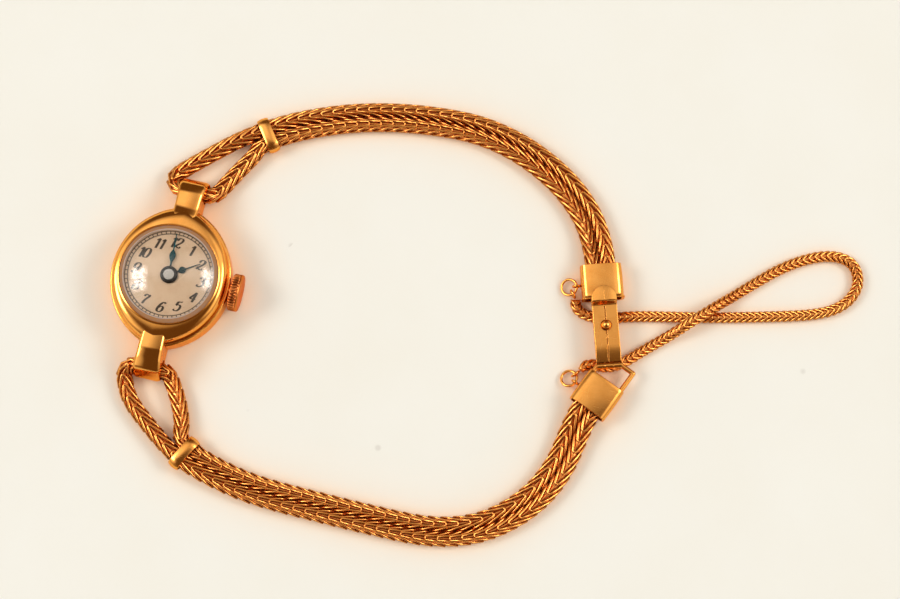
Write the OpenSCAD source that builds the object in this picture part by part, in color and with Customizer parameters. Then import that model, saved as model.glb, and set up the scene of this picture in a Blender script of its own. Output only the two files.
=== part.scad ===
// A lady's dress watch: an oval gold case with a hand-wound movement, on a bracelet of
// doubled woven chain with a fold-over clasp, a catch loop and a safety chain.
// Sizes are in mm. The origin is the middle of the flat case back, +Y runs to 12 o'clock,
// +X runs to the crown and +Z runs out through the dial.

/* [Case] */
// Half the width of the bezel, towards 3 o'clock
bezel_half_w = 6.85; // [6.75:0.05:7.3]
// Half the length of the bezel, towards 12 o'clock
bezel_half_l = 8.4; // [8.2:0.1:9]
// Ledge of the lower case outside the bezel
case_ledge = 0.35; // [0.2:0.05:0.6]
// Thickness of the floor of the case back
back_t = 0.4; // [0.3:0.05:0.5]
// Height of the dished case back
back_h = 1; // [0.85:0.05:1.2]
// Radius of the rounded lower edge of the case back
back_round = 0.8; // [0.4:0.05:0.8]
// Height of the lower case, where the bezel starts
case_h = 3.3; // [2.9:0.1:3.5]
// Radius of the convex shoulder of the bezel
bezel_round = 1.4; // [0.9:0.1:1.5]
// Slope of the bezel's top, down and away from the crystal, in degrees
bezel_slope = 11; // [6:1:14]
// Radius of the crystal
crystal_r = 5.9; // [5.8:0.05:6]
// Thickness of the crystal
crystal_t = 0.45; // [0.35:0.05:0.5]
// Rise of the crystal's dome above its edge
crystal_rise = 1.8; // [1.3:0.05:1.9]
// Width of the raised collar around the crystal
collar_w = 0.26; // [0.2:0.02:0.36]

/* [Lugs] */
// Width of the hooded lugs across the case
lug_w = 2.95; // [2.6:0.05:3.3]
// Distance of the chain tunnel from the dial centre
lug_y = 11; // [10.8:0.1:11.6]
// Height of the chain tunnel above the table
lug_z = 1.75; // [1.65:0.05:2]
// Thickness of the strap round the tunnel
lug_wall = 0.3; // [0.2:0.05:0.4]
// Height of the flat of the lugs above the table
hood_z = 4.5; // [4.3:0.05:4.7]

/* [Crown] */
// Radius of the crown
crown_r = 2.25; // [1.9:0.05:2.35]
// Thickness of the crown
crown_t = 1.2; // [0.9:0.05:1.4]
// Number of flutes round the crown
crown_flutes = 36; // [24:2:44]
// Height of the stem above the table
stem_z = 2.5; // [2.45:0.01:2.52]
// Radius of the winding stem
stem_r = 0.3; // [0.24:0.02:0.32]
// Outward travel of the crown when it is pulled
crown_pull = 0.5; // [0.3:0.05:0.5]
// Gap between the crown tube and the crown
crown_gap = 0.1; // [0.1:0.05:0.3]

/* [Dial and hands] */
// Radius of the dial
dial_r = 5.75; // [5.6:0.05:5.8]
// Thickness of the dial
dial_t = 0.25; // [0.2:0.05:0.3]
// Length of the minute hand
minute_len = 5; // [4.4:0.1:5.1]
// Length of the hour hand
hour_len = 3.9; // [3.2:0.1:4.4]
// Thickness of the hands
hand_t = 0.1; // [0.06:0.02:0.12]
// Reading of the minute hand, clockwise from 12
minute_deg = 357; // [0:1:359]
// Reading of the hour hand, clockwise from 12
hour_deg = 58; // [0:1:359]

/* [Movement] */
// Radius of the main plate
plate_r = 5.9; // [5.85:0.05:6]
// Height of the plate's train side above the table
plate_z = 1.65; // [1.6:0.05:1.7]
// Thickness of the main plate
plate_t = 2.15; // [2.1:0.05:2.2]
// Room between the main plate and the dial
motion_room = 0.45; // [0.43:0.01:0.5]
// Thickness of the barrel bridge and the train bridge
bridge_t = 0.45; // [0.4:0.01:0.46]
// Radial clearance of a pivot in its hole
pivot_clear = 0.02; // [0.01:0.01:0.04]
// Teeth of the barrel
barrel_teeth = 72; // [60:6:72]
// Teeth of the centre wheel
centre_teeth = 64; // [56:8:64]
// Teeth of the third wheel
third_teeth = 60; // [52:4:60]
// Teeth of the fourth wheel
fourth_teeth = 60; // [54:6:60]
// Teeth of the escape wheel
escape_teeth = 15; // [12:1:16]
// Radius of the balance
balance_r = 1.65; // [1.4:0.05:1.7]

/* [Bracelet] */
// Width of one strand of the woven chain
strand_w = 1.8; // [1.5:0.05:1.85]
// Pitch of the woven chain's links
link_pitch = 1.45; // [1.2:0.05:2]
// Depth of the relief between links
link_relief = 0.16; // [0.08:0.02:0.2]
// Gap between the two strands that lie side by side
strand_gap = 0.1; // [0.06:0.02:0.2]
// Length of a keeper along the chain
keeper_len = 1.4; // [1:0.1:1.8]
// Wall of a keeper
keeper_wall = 0.28; // [0.2:0.02:0.34]
// Clearance between a strand and the keeper or cap round it
strand_clear = 0.06; // [0.04:0.01:0.12]

/* [Clasp] */
// Width of an end cap
cap_w = 5; // [4.6:0.1:5.2]
// Length of an end cap
cap_len = 4.2; // [3.8:0.1:4.4]
// Thickness of an end cap
cap_h = 2.8; // [2.7:0.05:2.9]
// Wall of an end cap
cap_wall = 0.3; // [0.2:0.02:0.32]
// Width of the clasp leaves
leaf_w = 3; // [2.6:0.1:3.2]
// Thickness of the clasp leaves
leaf_t = 0.3; // [0.2:0.02:0.3]
// Distance of the clasp hinge from the middle of its cap
leaf_len = 10.3; // [9.6:0.1:10.4]
// Radius of the ball stud
ball_r = 0.55; // [0.4:0.05:0.6]
// Radius of the catch loop's wire
loop_wire_r = 0.3; // [0.2:0.02:0.3]
// Length of the catch loop in front of its cap
loop_len = 2.9; // [2.7:0.1:3]
// Radius of the jump rings, to the middle of the wire
ring_r = 0.95; // [0.85:0.05:1]
// Radius of the wire of the rings and eyelets
ring_wire_r = 0.16; // [0.12:0.01:0.17]

/* [Safety chain] */
// Diameter of the safety chain
safety_d = 1.1; // [0.9:0.05:1.1]

/* [Hidden] */
$fn = 64;

// Outline of the case: two equal arcs that meet at 12 and 6 o'clock
bezel_R = (bezel_half_w * bezel_half_w + bezel_half_l * bezel_half_l) / (2 * bezel_half_w);
arc_c = bezel_R - bezel_half_w;
case_R = bezel_R + case_ledge;
case_side = case_R - arc_c;

// Heights of the stack, from the table up
plate_top = plate_z + plate_t;
dial_z = plate_top + motion_room;
dial_top = dial_z + dial_t;
rest_z = dial_top + 0.2;
bezel_top = rest_z + 0.5;
collar_top = bezel_top + 0.1;
crystal_base = rest_z + 0.02;
crystal_top = rest_z + 0.45 + crystal_rise;
dome_R = (crystal_r * crystal_r + crystal_rise * crystal_rise) / (2 * crystal_rise);
case_bore = plate_r + 0.05;
ledge_r = plate_r - 0.4;

// Places of the wheels. Each distance is a sum of pitch radii
barrel_mod = 0.072;
centre_mod = 0.072;
third_mod = 0.066;
fourth_mod = 0.06;
motion_mod = 0.075;
wind_mod = 0.105;
centre_leaves = 10;
third_leaves = 8;
fourth_leaves = 8;
escape_leaves = 6;
barrel_d = barrel_mod * (barrel_teeth + centre_leaves) / 2;
third_d = centre_mod * (centre_teeth + third_leaves) / 2;
fourth_d = third_mod * (third_teeth + fourth_leaves) / 2;
escape_d = fourth_mod * (fourth_teeth + escape_leaves) / 2;
barrel_dir = 75;
third_dir = 200;
fourth_dir = -60;
escape_dir = -10;
function polar(r, a) = [r * cos(a), r * sin(a)];
barrel_p = polar(barrel_d, barrel_dir);
third_p = polar(third_d, third_dir);
fourth_p = third_p + polar(fourth_d, fourth_dir);
escape_p = fourth_p + polar(escape_d, escape_dir);
balance_p = [2.55, -2.75];
pallet_p = escape_p + polar(1.2, -25);
ratchet_teeth = 40;
crown_wheel_teeth = 28;
wind_d = wind_mod * (ratchet_teeth + crown_wheel_teeth) / 2;
crown_wheel_p = [barrel_p.x + sqrt(wind_d * wind_d - barrel_p.y * barrel_p.y), 0];
cannon_leaves = 10;
minute_teeth = 30;
minute_leaves = 8;
hour_teeth = 32;
motion_d = motion_mod * (cannon_leaves + minute_teeth) / 2;
motion_dir = -35;
minute_p = polar(motion_d, motion_dir);
screw_ps = [[-4.55, 1.95], [-1.9, 4.75], [4.3, 2.6], [-4.35, -2.35], [-0.6, -4.95], [-4.75, -0.55]];
bridge_r = ledge_r - 0.1;
bridge_z = plate_z - bridge_t;
cock_dir = atan2(balance_p.y, balance_p.x) + 24;
cock_screw_p = polar(bridge_r - 0.45, cock_dir);
pallet_turn = atan2(pallet_p.y - balance_p.y, pallet_p.x - balance_p.x) + 90;
pallet_screw_p = pallet_p + polar(1.2, pallet_turn);
wheel_roof = plate_z + 1.45;
screw_r = 0.2;
screw_head_r = 0.33;
screw_head_t = 0.16;
screw_deep = 0.5;
slot_w = 0.1;
slot_t = 0.08;
small_screw_r = 0.12;
small_head_r = 0.22;
small_head_t = 0.12;
small_screw_deep = 0.6;
cannon_r = 0.35;
pipe_r = 0.55;
hour_z = dial_top + 0.12;
minute_z = hour_z + hand_t + 0.08;

// Keyless work along the stem
stem_in = 2.5;
clutch_x = 2.95;
clutch_len = 0.8;
clutch_r = 0.55;
wind_x = 4;
wind_len = 0.42;
wind_leaves = 26;
wind_leaf_mod = 0.0885;
clutch_slide = 0.2;
groove_x = 5;
tube_end = case_side + 0.1;
crown_x = tube_end + crown_gap;
lever_p = [groove_x + crown_pull / 2, -1.6];

// Chain, keepers and caps
strand_r = strand_w / 2;
strand_d = strand_w + strand_gap;
tunnel_r = strand_r + 0.25;
lug_r = tunnel_r + lug_wall;
bend_r = strand_r + 0.35;
keeper_z = keeper_wall + strand_clear + strand_r;
keeper_w = strand_d + strand_w + 2 * (strand_clear + keeper_wall);
keeper_round = keeper_wall + 0.6;
lip = 0.1;
cap_z = lip + cap_h / 2;
upper_cap = [50.45, 11.3];
upper_turn = -73;
lower_cap = [52.8, -2.25];
lower_turn = 67;
upper_keeper_p = [7, 20];
upper_keeper_turn = 36;
lower_keeper_p = [6.5, -20];
lower_keeper_turn = -28;
wall_x = 0.2;
base_z = cap_z + 0.55;
fold_z = base_z + leaf_t + 0.2;
hinge_z = (base_z + fold_z + leaf_t) / 2;
knuckle_r = (fold_z + leaf_t - base_z) / 2;
pin_r = 0.15;
tab_z = cap_z + cap_h / 2 + lip + 0.1;
ball_x = 5.45;
loop_z = cap_z;
loop_w = cap_w - 0.4;
eye_y = cap_w / 2 + 0.5;
eye_z = 1.05;
eye_r = 0.42;
eye_wire_r = 0.14;
ring_tilt = 20;
link_r = 0.5;
link_z = 0.76;

// Routes on the table, in mm, chosen by hand to follow the photographed bracelet
upper_route = [
    [11, 22.4], [16.5, 24.6], [22.5, 26], [28.5, 26.6], [33, 26.5],
    [38.2, 25.2], [43.4, 22.5], [47, 19.2], [48.8, 16.2]
];
lower_route = [
    [10.5, -21.4], [15.5, -22.4], [22.5, -22.6], [30, -22.7], [37, -22.6],
    [42, -21.2], [45.7, -18.7], [48.7, -15.3], [50.5, -11.2], [51.1, -7.5]
];
upper_left_v = [[0.2, 15.7], [3.2, 18.4]];
upper_right_v = [[4.4, 14.8], [6, 17.4]];
lower_left_v = [[-1.6, -15.2], [1.6, -17.8]];
lower_right_v = [[4.2, -13.9], [5.4, -16.6]];
safety_route = [
    [48.1, 7.7, 0], [49.5, 7, 0], [52, 7.2, 0], [55, 8.3, 0], [63, 9.9, 0], [70, 11.6, 0],
    [77, 13.5, 0], [79.8, 15.4, 0], [80.9, 18, 0], [80, 20.4, 0], [77.8, 21.1, 0],
    [75, 20.4, 0], [71.4, 18.2, 0], [68, 15, 0], [66.4, 13.4, 0], [65.2, 12.2, 0.9],
    [64, 11, 1.3], [63, 10, 1.35], [62, 9, 1.3], [60.8, 7.8, 0.9], [59.6, 6.7, 0],
    [57.6, 4.9, 0], [55.6, 2.9, 0], [54.2, 1.8, 0], [52.8, 1.4, 0], [51.6, 1.5, 0],
    [50.7, 1.1, 0]
];

function unit(v) = v / norm(v);
function side_of(v) = unit([-v.y, v.x]);
function flip(list) = [for (i = [len(list) - 1:-1:0]) list[i]];
function flat(p) = [p.x, p.y];
function lifted(list, z) = [for (p = list) [p.x, p.y, z]];
function along(origin, turn, x, y) = [
    origin.x + x * cos(turn) - y * sin(turn),
    origin.y + x * sin(turn) + y * cos(turn)
];

// Corner cutting rounds a hand-made route without overshooting it
function cut_once(p) = [
    p[0],
    for (i = [0:len(p) - 2]) each [p[i] * 0.75 + p[i + 1] * 0.25, p[i] * 0.25 + p[i + 1] * 0.75],
    p[len(p) - 1]
];
function rounded(p, times) = times == 0 ? p : rounded(cut_once(p), times - 1);
function run_lengths(p, i = 1, sum = 0, list = [0]) =
    i == len(p) ? list
    : let (s = sum + norm(p[i] - p[i - 1])) run_lengths(p, i + 1, s, concat(list, [s]));
function tables(p) = let (s = run_lengths(p)) [
    for (k = [0:2]) [for (i = [0:len(p) - 1]) [s[i], p[i][k]]]
];
function at_length(t, s) = [lookup(s, t[0]), lookup(s, t[1]), lookup(s, t[2])];

// A strand offset to one side of a route, for chain laid double
function beside(route, d) = [
    for (i = [0:len(route) - 1])
        let (a = route[max(i - 1, 0)], b = route[min(i + 1, len(route) - 1)])
        let (n = side_of(flat(b) - flat(a)))
        [route[i].x + d * n.x, route[i].y + d * n.y, route[i].z]
];

// Chain path of one bracelet half. It comes back from the cap, bends round one end of the
// lug tunnel, goes through it, bends round the other end and runs out to the cap again
function half_route(keeper, keeper_turn, route, cap, turn) = concat(
    lifted([for (x = [-1.6, keeper_len / 2]) along(keeper, keeper_turn, x, 0)], keeper_z),
    lifted(route, strand_r),
    lifted([for (x = [-cap_len / 2 - 0.9, -cap_len / 2, -wall_x]) along(cap, turn, x, 0)], cap_z)
);
function bend(side, updown, stop) = [
    for (k = [0:6])
        let (a = -90 + k * stop / 6)
        [
            side * (lug_w / 2 + 0.15 + bend_r * cos(a)),
            updown * (lug_y + bend_r + bend_r * sin(a)),
            lug_z + (strand_r - lug_z) * k / 6
        ]
];
function half_chain(updown, left_v, right_v, left_stop, right_stop, route) = concat(
    flip(beside(route, updown * strand_d / 2)),
    flip(lifted(left_v, strand_r)),
    flip(bend(-1, updown, left_stop)),
    [[0, updown * lug_y, lug_z]],
    bend(1, updown, right_stop),
    lifted(right_v, strand_r),
    beside(route, -updown * strand_d / 2)
);

// Woven chain: a ring of eight points every half pitch, and twice as many in the tight bends
// at the lug. The corners swell and sink by turns
// and the middle of each face lies ahead of its corners, which draws the row of chevrons
module woven_chain(points) {
    t = tables(rounded(points, 3));
    total = t[0][len(t[0]) - 1][0];
    steps = 2 * round(total / link_pitch);
    step = total / steps;
    marks = [for (i = [0:steps]) each abs(i - steps / 2) < 13 ? [i, i + 0.5] : [i]];
    rings = len(marks) - 1;
    verts = [
        for (i = marks, k = [0:7])
            let (ends = i == 0 || i == steps)
            let (swell = 1 - link_relief / strand_r * (0.5 - 0.5 * cos(180 * i)))
            let (middle = k % 2 == 0)
            let (s = min(max(i * step + (middle && !ends ? 0.4 * step : 0), 0), total))
            let (p = at_length(t, s))
            let (ahead = at_length(t, min(s + 0.1, total)), behind = at_length(t, max(s - 0.1, 0)))
            let (dir = unit(ahead - behind), out = unit(cross([0, 0, 1], dir)), up = cross(dir, out))
            let (r = middle ? strand_r * swell : strand_r * 1.17 * swell)
            p + out * r * cos(45 * k) + up * r * sin(45 * k)
    ];
    polyhedron(verts, tube_faces(rings, 8));
}

// Faces of a tube with its two flat ends
function tube_faces(rings, n) = concat(
    [for (k = [1:n - 2]) [0, k, k + 1]],
    [for (i = [0:rings - 1], k = [0:n - 1]) each [
        [i * n + k, (i + 1) * n + k, (i + 1) * n + (k + 1) % n],
        [i * n + k, (i + 1) * n + (k + 1) % n, i * n + (k + 1) % n]
    ]],
    [for (k = [1:n - 2]) [rings * n, rings * n + k + 1, rings * n + k]]
);

// Shapes that several pieces share
module case_shape() {
    intersection() {
        translate([-arc_c, 0, 0]) rotate_extrude() children();
        translate([arc_c, 0, 0]) rotate_extrude() children();
    }
}
module lower_shape(z0, z1) {
    case_shape() intersection() {
        translate([0, z0]) square([case_R, z1 - z0]);
        union() {
            square([case_R - back_round, case_h]);
            translate([0, back_round]) square([case_R, case_h - back_round - 0.2]);
            square([case_R - 0.2, case_h - 0.2 + 0.2 * sqrt(0.5)]);
            translate([case_R - 0.2, case_h - 0.2]) circle(0.2);
            translate([case_R - back_round, back_round]) circle(back_round);
            translate([0, back_round]) square([case_R - 0.2, case_h - back_round]);
        }
    }
}
module bezel_shape() {
    high = bezel_top - case_h;
    collar_r = crystal_r + collar_w;
    intersection() {
        case_shape() intersection() {
            translate([0, case_h]) square([bezel_R, high]);
            union() {
                square([bezel_R - bezel_round, bezel_top]);
                square([bezel_R, bezel_top - bezel_round]);
                translate([bezel_R - bezel_round, bezel_top - bezel_round]) circle(bezel_round);
            }
        }
        translate([0, 0, case_h]) cylinder(h = high, r1 = collar_r + high / tan(bezel_slope), r2 = collar_r);
    }
}
module disc(r, z0, z1) {
    translate([0, 0, z0]) cylinder(h = z1 - z0, r = r);
}
module ring(r_out, r_in, z0, z1) {
    difference() {
        disc(r_out, z0, z1);
        disc(r_in, z0 - 1, z1 + 1);
    }
}
module at(p) {
    translate([p.x, p.y, 0]) children();
}
module rod_x(r, x0, x1) {
    translate([x0, 0, stem_z]) rotate([0, 90, 0]) cylinder(h = x1 - x0, r = r);
}
module teeth(n, mod) {
    root = mod * (n / 2 - 1.25);
    tip = mod * (n / 2 + 1);
    polygon([for (i = [0:n - 1], s = [[-0.3, root], [-0.13, tip], [0.13, tip], [0.3, root]])
        polar(s[1], (i + s[0]) * 360 / n)]);
}
// A wheel with one tooth turned to face its pinion
module wheel(n, mod, z0, t, face, hub, rim, spokes) {
    root = mod * (n / 2 - 1.25);
    translate([0, 0, z0]) linear_extrude(t) difference() {
        rotate(face) teeth(n, mod);
        difference() {
            circle(root - rim);
            circle(hub);
            for (k = [0:spokes - 1]) rotate(face + 45 + k * 360 / spokes)
                translate([0, -0.1]) square([root, 0.2]);
        }
    }
}
// A pinion with one gap turned to face its wheel
module pinion(n, mod, z0, t, face) {
    translate([0, 0, z0]) linear_extrude(t) rotate(face + 180 / n) teeth(n, mod);
}
module arbor(r, z0, z1, pivot_r, p0, p1) {
    disc(r, z0, z1);
    disc(pivot_r, p0, p1);
}
module at_upper_cap() {
    translate([upper_cap.x, upper_cap.y, 0]) rotate(upper_turn) children();
}
module at_lower_cap() {
    translate([lower_cap.x, lower_cap.y, 0]) rotate(lower_turn) children();
}
// Flattened tube along X with rounded edges
module flat_tube(w, h, r, x0, x1, z) {
    translate([x0, 0, z]) rotate([90, 0, 90]) linear_extrude(x1 - x0) union() {
        square([w - 2 * r, h], center = true);
        square([w, h - 2 * r], center = true);
        for (sx = [-1, 1], sz = [-1, 1])
            translate([sx * (w / 2 - r), sz * (h / 2 - r)]) circle(r);
    }
}
module torus(r, wire) {
    rotate_extrude() translate([r, 0]) circle(wire, $fn = 32);
}

// Case
module case_back() {
    color("goldenrod") difference() {
        lower_shape(0, back_h);
        disc(ledge_r + 0.1, back_t, back_h + 1);
    }
}
module case_middle() {
    color("gold") difference() {
        lower_shape(back_h, case_h);
        disc(ledge_r, back_h - 1, case_h + 1);
        disc(case_bore, plate_z, case_h + 1);
        rod_x(stem_r + pivot_clear, 0, case_side + 1);
        rod_x(0.75, case_side - 0.6, case_side + 1);
    }
}
module bezel() {
    color("gold") difference() {
        union() {
            bezel_shape();
            disc(crystal_r + 0.02 + collar_w, bezel_top - 0.4, collar_top);
        }
        disc(case_bore, case_h - 1, dial_top + 0.02);
        disc(dial_r - 0.25, dial_top - 1, collar_top + 1);
        disc(crystal_r + 0.02, rest_z, collar_top + 1);
    }
}
module crystal() {
    color("lightcyan", 0.4) difference() {
        intersection() {
            translate([0, 0, crystal_top - dome_R]) sphere(dome_R);
            disc(crystal_r, crystal_base, crystal_top + 1);
        }
        translate([0, 0, crystal_top - dome_R]) sphere(dome_R - crystal_t);
    }
}
function curve(a, b, c, n) = [
    for (k = [0:n]) let (t = k / n) a * (1 - t) * (1 - t) + b * 2 * t * (1 - t) + c * t * t
];
module lug() {
    foot = [bezel_half_l - 1.4, collar_top - 0.05];
    step_0 = [bezel_half_l - 0.7, collar_top - 0.1];
    step_1 = [bezel_half_l + 0.6, hood_z];
    brow = [lug_y - 0.4, hood_z - 0.15];
    cheek = [lug_y + 0.95, brow.y - 1.05];
    nose = [lug_y + lug_r, lug_z];
    difference() {
        union() {
            rotate([90, 0, 90]) linear_extrude(lug_w, center = true) polygon(concat(
                [[foot.x, back_h + 0.2], foot],
                curve(step_0, step_0 + [0.4, 0], (step_0 + step_1) / 2, 6),
                curve((step_0 + step_1) / 2 + [0.01, -0.01], step_1 - [0.4, 0], step_1, 6),
                curve(brow, [lug_y + 0.55, brow.y], cheek, 8),
                curve(cheek + [0.01, -0.03], [nose.x, cheek.y - 1.2], nose, 6),
                [[lug_y, lug_z - lug_r + 0.02], [bezel_half_l, back_h - 0.35]]
            ));
            translate([0, lug_y, lug_z]) rotate([0, 90, 0])
                cylinder(h = lug_w, r = lug_r, center = true);
        }
        lower_shape(0, case_h);
        bezel_shape();
        translate([0, lug_y, lug_z]) rotate([0, 90, 0])
            cylinder(h = lug_w + 2, r = tunnel_r, center = true);
        disc(crystal_r + 0.02 + collar_w, bezel_top - 1, collar_top + 1);
    }
}
module upper_lug() {
    color("gold") lug();
}
module lower_lug() {
    color("gold") mirror([0, 1, 0]) lug();
}

// Crown and keyless work
module crown_tube() {
    color("gold") difference() {
        rod_x(0.75, case_side - 0.6, tube_end);
        rod_x(stem_r + pivot_clear, 0, tube_end + 1);
    }
}
module crown() {
    color("peru") difference() {
        translate([crown_x, 0, stem_z]) rotate([0, 90, 0]) intersection() {
            linear_extrude(crown_t) polygon([for (i = [0:crown_flutes - 1],
                s = [[-0.32, 0.93], [-0.2, 1], [0.2, 1], [0.32, 0.93]])
                polar(crown_r * s[1], (i + s[0]) * 360 / crown_flutes)]);
            union() {
                cylinder(h = 0.15, r1 = crown_r * 0.94, r2 = crown_r + 0.01);
                translate([0, 0, 0.15]) cylinder(h = crown_t - 0.35, r = crown_r + 0.01);
                translate([0, 0, crown_t - 0.2]) cylinder(h = 0.2, r1 = crown_r + 0.01, r2 = crown_r * 0.88);
            }
        }
        rod_x(stem_r, crown_x - 1, crown_x + crown_t - 0.35);
    }
}
module winding_stem() {
    color("silver") difference() {
        rod_x(stem_r, stem_in, crown_x + crown_t - 0.35);
        difference() {
            rod_x(stem_r + 1, groove_x - 0.14, groove_x + 0.14);
            rod_x(stem_r * 0.55, groove_x - 1, groove_x + 1);
        }
    }
}
module sliding_pinion() {
    color("lightgray") difference() {
        union() {
            translate([clutch_x, 0, stem_z]) rotate([0, 90, 0]) linear_extrude(0.22)
                teeth(16, clutch_r / 9);
            rod_x(clutch_r * 0.62, clutch_x, clutch_x + clutch_len);
            rod_x(clutch_r, clutch_x + clutch_len - 0.18, clutch_x + clutch_len);
        }
        rod_x(stem_r + pivot_clear, 0, 10);
    }
}
module winding_pinion() {
    color("lightgray") difference() {
        translate([wind_x, 0, stem_z]) rotate([0, 90, 0]) linear_extrude(wind_len)
            teeth(wind_leaves, wind_leaf_mod);
        rod_x(stem_r + pivot_clear, 0, 10);
    }
}
module crown_wheel() {
    top = bridge_z + 0.15;
    color("silver") at(crown_wheel_p) difference() {
        translate([0, 0, bridge_z - 0.25]) linear_extrude(0.4)
            rotate(180 + atan2(-barrel_p.y, crown_wheel_p.x - barrel_p.x) + 180 / crown_wheel_teeth)
                teeth(crown_wheel_teeth, wind_mod);
        disc(0.35, 0, 3);
        for (k = [0:crown_wheel_teeth - 1]) rotate(k * 360 / crown_wheel_teeth)
            translate([0, 0, top - 0.15]) linear_extrude(1)
                polygon([polar(1.02, -4.2), polar(2, -4.2), polar(2, 4.2), polar(1.02, 4.2)]);
    }
}
module ratchet_wheel() {
    color("silver") at(barrel_p) difference() {
        translate([0, 0, bridge_z - 0.27]) linear_extrude(0.25)
            rotate(atan2(-barrel_p.y, crown_wheel_p.x - barrel_p.x)) teeth(ratchet_teeth, wind_mod);
        disc(0.3, 0, 3);
    }
}
module barrel_arbor() {
    color("gray") at(barrel_p) {
        disc(0.3, bridge_z - 0.27, wheel_roof - 0.1);
        disc(0.45, plate_z + 0.53, plate_z + 1.25);
        disc(0.2, wheel_roof - 0.1, wheel_roof + 0.25);
    }
}
click_p = barrel_p + polar(3.15, 158);
module click() {
    nose = barrel_p + polar(wind_mod * (ratchet_teeth / 2 + 1) + 0.05, 163);
    color("gray") translate([0, 0, bridge_z - 0.25]) linear_extrude(0.23) union() {
        translate(click_p) circle(0.34);
        polygon([
            click_p + polar(0.33, 70), nose + polar(0.22, 73),
            nose, click_p + polar(0.33, -110)
        ]);
    }
    color("gray") at(click_p) disc(0.15, bridge_z - 0.25, plate_z);
}
module setting_lever() {
    pin = [groove_x, 0];
    d = pin - lever_p;
    color("gray") difference() {
        union() {
            at(lever_p) disc(0.34, plate_top + 0.03, plate_top + 0.2);
            at(lever_p) rotate(atan2(d.y, d.x)) translate([0, -0.2, plate_top + 0.03])
                cube([norm(d), 0.4, 0.17]);
            at(pin) disc(0.2, plate_top + 0.03, plate_top + 0.2);
            at(pin) disc(0.1, stem_z + stem_r * 0.55 + 0.05, plate_top + 0.1);
        }
        at(lever_p) disc(0.12 + pivot_clear, 0, 9);
    }
}
yoke_p = [clutch_x + 0.42, 2];
module yoke() {
    finger = [clutch_x + 0.42, 0];
    color("gray") difference() {
        union() {
            at(yoke_p) disc(0.32, plate_top + 0.03, plate_top + 0.2);
            translate([finger.x - 0.16, 0, plate_top + 0.03]) cube([0.32, yoke_p.y, 0.17]);
            at(finger) disc(0.16, plate_top + 0.03, plate_top + 0.2);
            at(finger) disc(0.08, stem_z + clutch_r * 0.62 + 0.06, plate_top + 0.1);
        }
        at(yoke_p) disc(0.12 + pivot_clear, 0, 9);
    }
}

// Movement: plate and bridges
module main_plate() {
    color("lightsteelblue") difference() {
        union() {
            disc(plate_r, plate_z, plate_top);
            at(lever_p) disc(0.12, plate_top - 0.1, plate_top + 0.2);
            at(yoke_p) disc(0.12, plate_top - 0.1, plate_top + 0.2);
        }
        at(barrel_p) disc(barrel_mod * (barrel_teeth / 2 + 1) + 0.08, 0, wheel_roof);
        disc(centre_mod * (centre_teeth / 2 + 1) + 0.08, 0, wheel_roof);
        at(third_p) disc(third_mod * (third_teeth / 2 + 1) + 0.08, 0, wheel_roof);
        at(fourth_p) disc(fourth_mod * (fourth_teeth / 2 + 1) + 0.08, 0, wheel_roof);
        at(escape_p) disc(1.25, 0, wheel_roof);
        at(pallet_p) disc(0.95, 0, wheel_roof);
        at(balance_p) disc(0.6, 0, wheel_roof);
        pallet_bar(plate_z - 1, plate_z + 0.3, 0.02);
        translate([clutch_x - clutch_slide - 0.05, -0.65, 0]) cube([clutch_len + clutch_slide + 0.1, 1.3, 9]);
        translate([wind_x - 0.08, -1.28, 0]) cube([wind_len + 0.16, 2.56, 9]);
        rod_x(stem_r + pivot_clear, stem_in - 0.1, 9);
        translate([groove_x - 0.14, -0.14, stem_z]) cube([crown_pull + 0.28, 0.28, 9]);
        disc(0.2 + pivot_clear, 0, 9);
        at(barrel_p) disc(0.2 + pivot_clear, 0, wheel_roof + 0.3);
        for (p = [third_p, fourth_p, escape_p, pallet_p, balance_p])
            at(p) disc(0.07 + pivot_clear, 0, wheel_roof + 0.3);
        at(minute_p) disc(0.12, plate_top - 0.4, 9);
        for (p = concat(screw_ps, [cock_screw_p])) at(p) disc(screw_r, 0, plate_z + screw_deep);
        at(pallet_screw_p) disc(small_screw_r, 0, plate_z + small_screw_deep);
        for (a = [60, 240]) at(polar(dial_r - 0.45, a)) disc(0.2 + pivot_clear, plate_top - 0.5, 9);
    }
}
module bridge_plan(z0, z1) {
    difference() {
        disc(bridge_r, z0, z1);
        at(balance_p) disc(balance_r + 0.1, z0 - 1, z1 + 1);
    }
}
module bridge_line(d) {
    rotate(-8) translate([-9, d, -9]) cube([18, 18, 18]);
}
module barrel_bridge() {
    color("lightsteelblue") difference() {
        intersection() {
            bridge_plan(bridge_z, plate_z);
            bridge_line(-0.4);
        }
        at(crown_wheel_p) disc(wind_mod * (crown_wheel_teeth / 2 + 1) + 0.05, 0, bridge_z + 0.18);
        translate([wind_x - 0.08, -0.95, 0]) cube([wind_len + 0.16, 1.9, 9]);
        at(barrel_p) disc(0.3 + pivot_clear, 0, 9);
        disc(0.14 + pivot_clear, 0, 9);
        at(click_p) disc(0.15 + pivot_clear, 0, 9);
        for (k = [0:2]) at(screw_ps[k]) disc(screw_r, 0, 9);
    }
    color("lightsteelblue") at(crown_wheel_p) disc(0.33, bridge_z - 0.25, bridge_z + 0.3);
}
module train_bridge() {
    color("lightsteelblue") difference() {
        bridge_plan(bridge_z, plate_z);
        bridge_line(-0.5);
        at(crown_wheel_p) disc(wind_mod * (crown_wheel_teeth / 2 + 1) + 0.05, 0, bridge_z + 0.18);
        translate([balance_p.x, -9, 0]) cube([9, 9, 9]);
        for (p = [third_p, fourth_p, escape_p]) at(p) disc(0.07 + pivot_clear, 0, 9);
        for (k = [3:5]) at(screw_ps[k]) disc(screw_r, 0, 9);
    }
}
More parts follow.
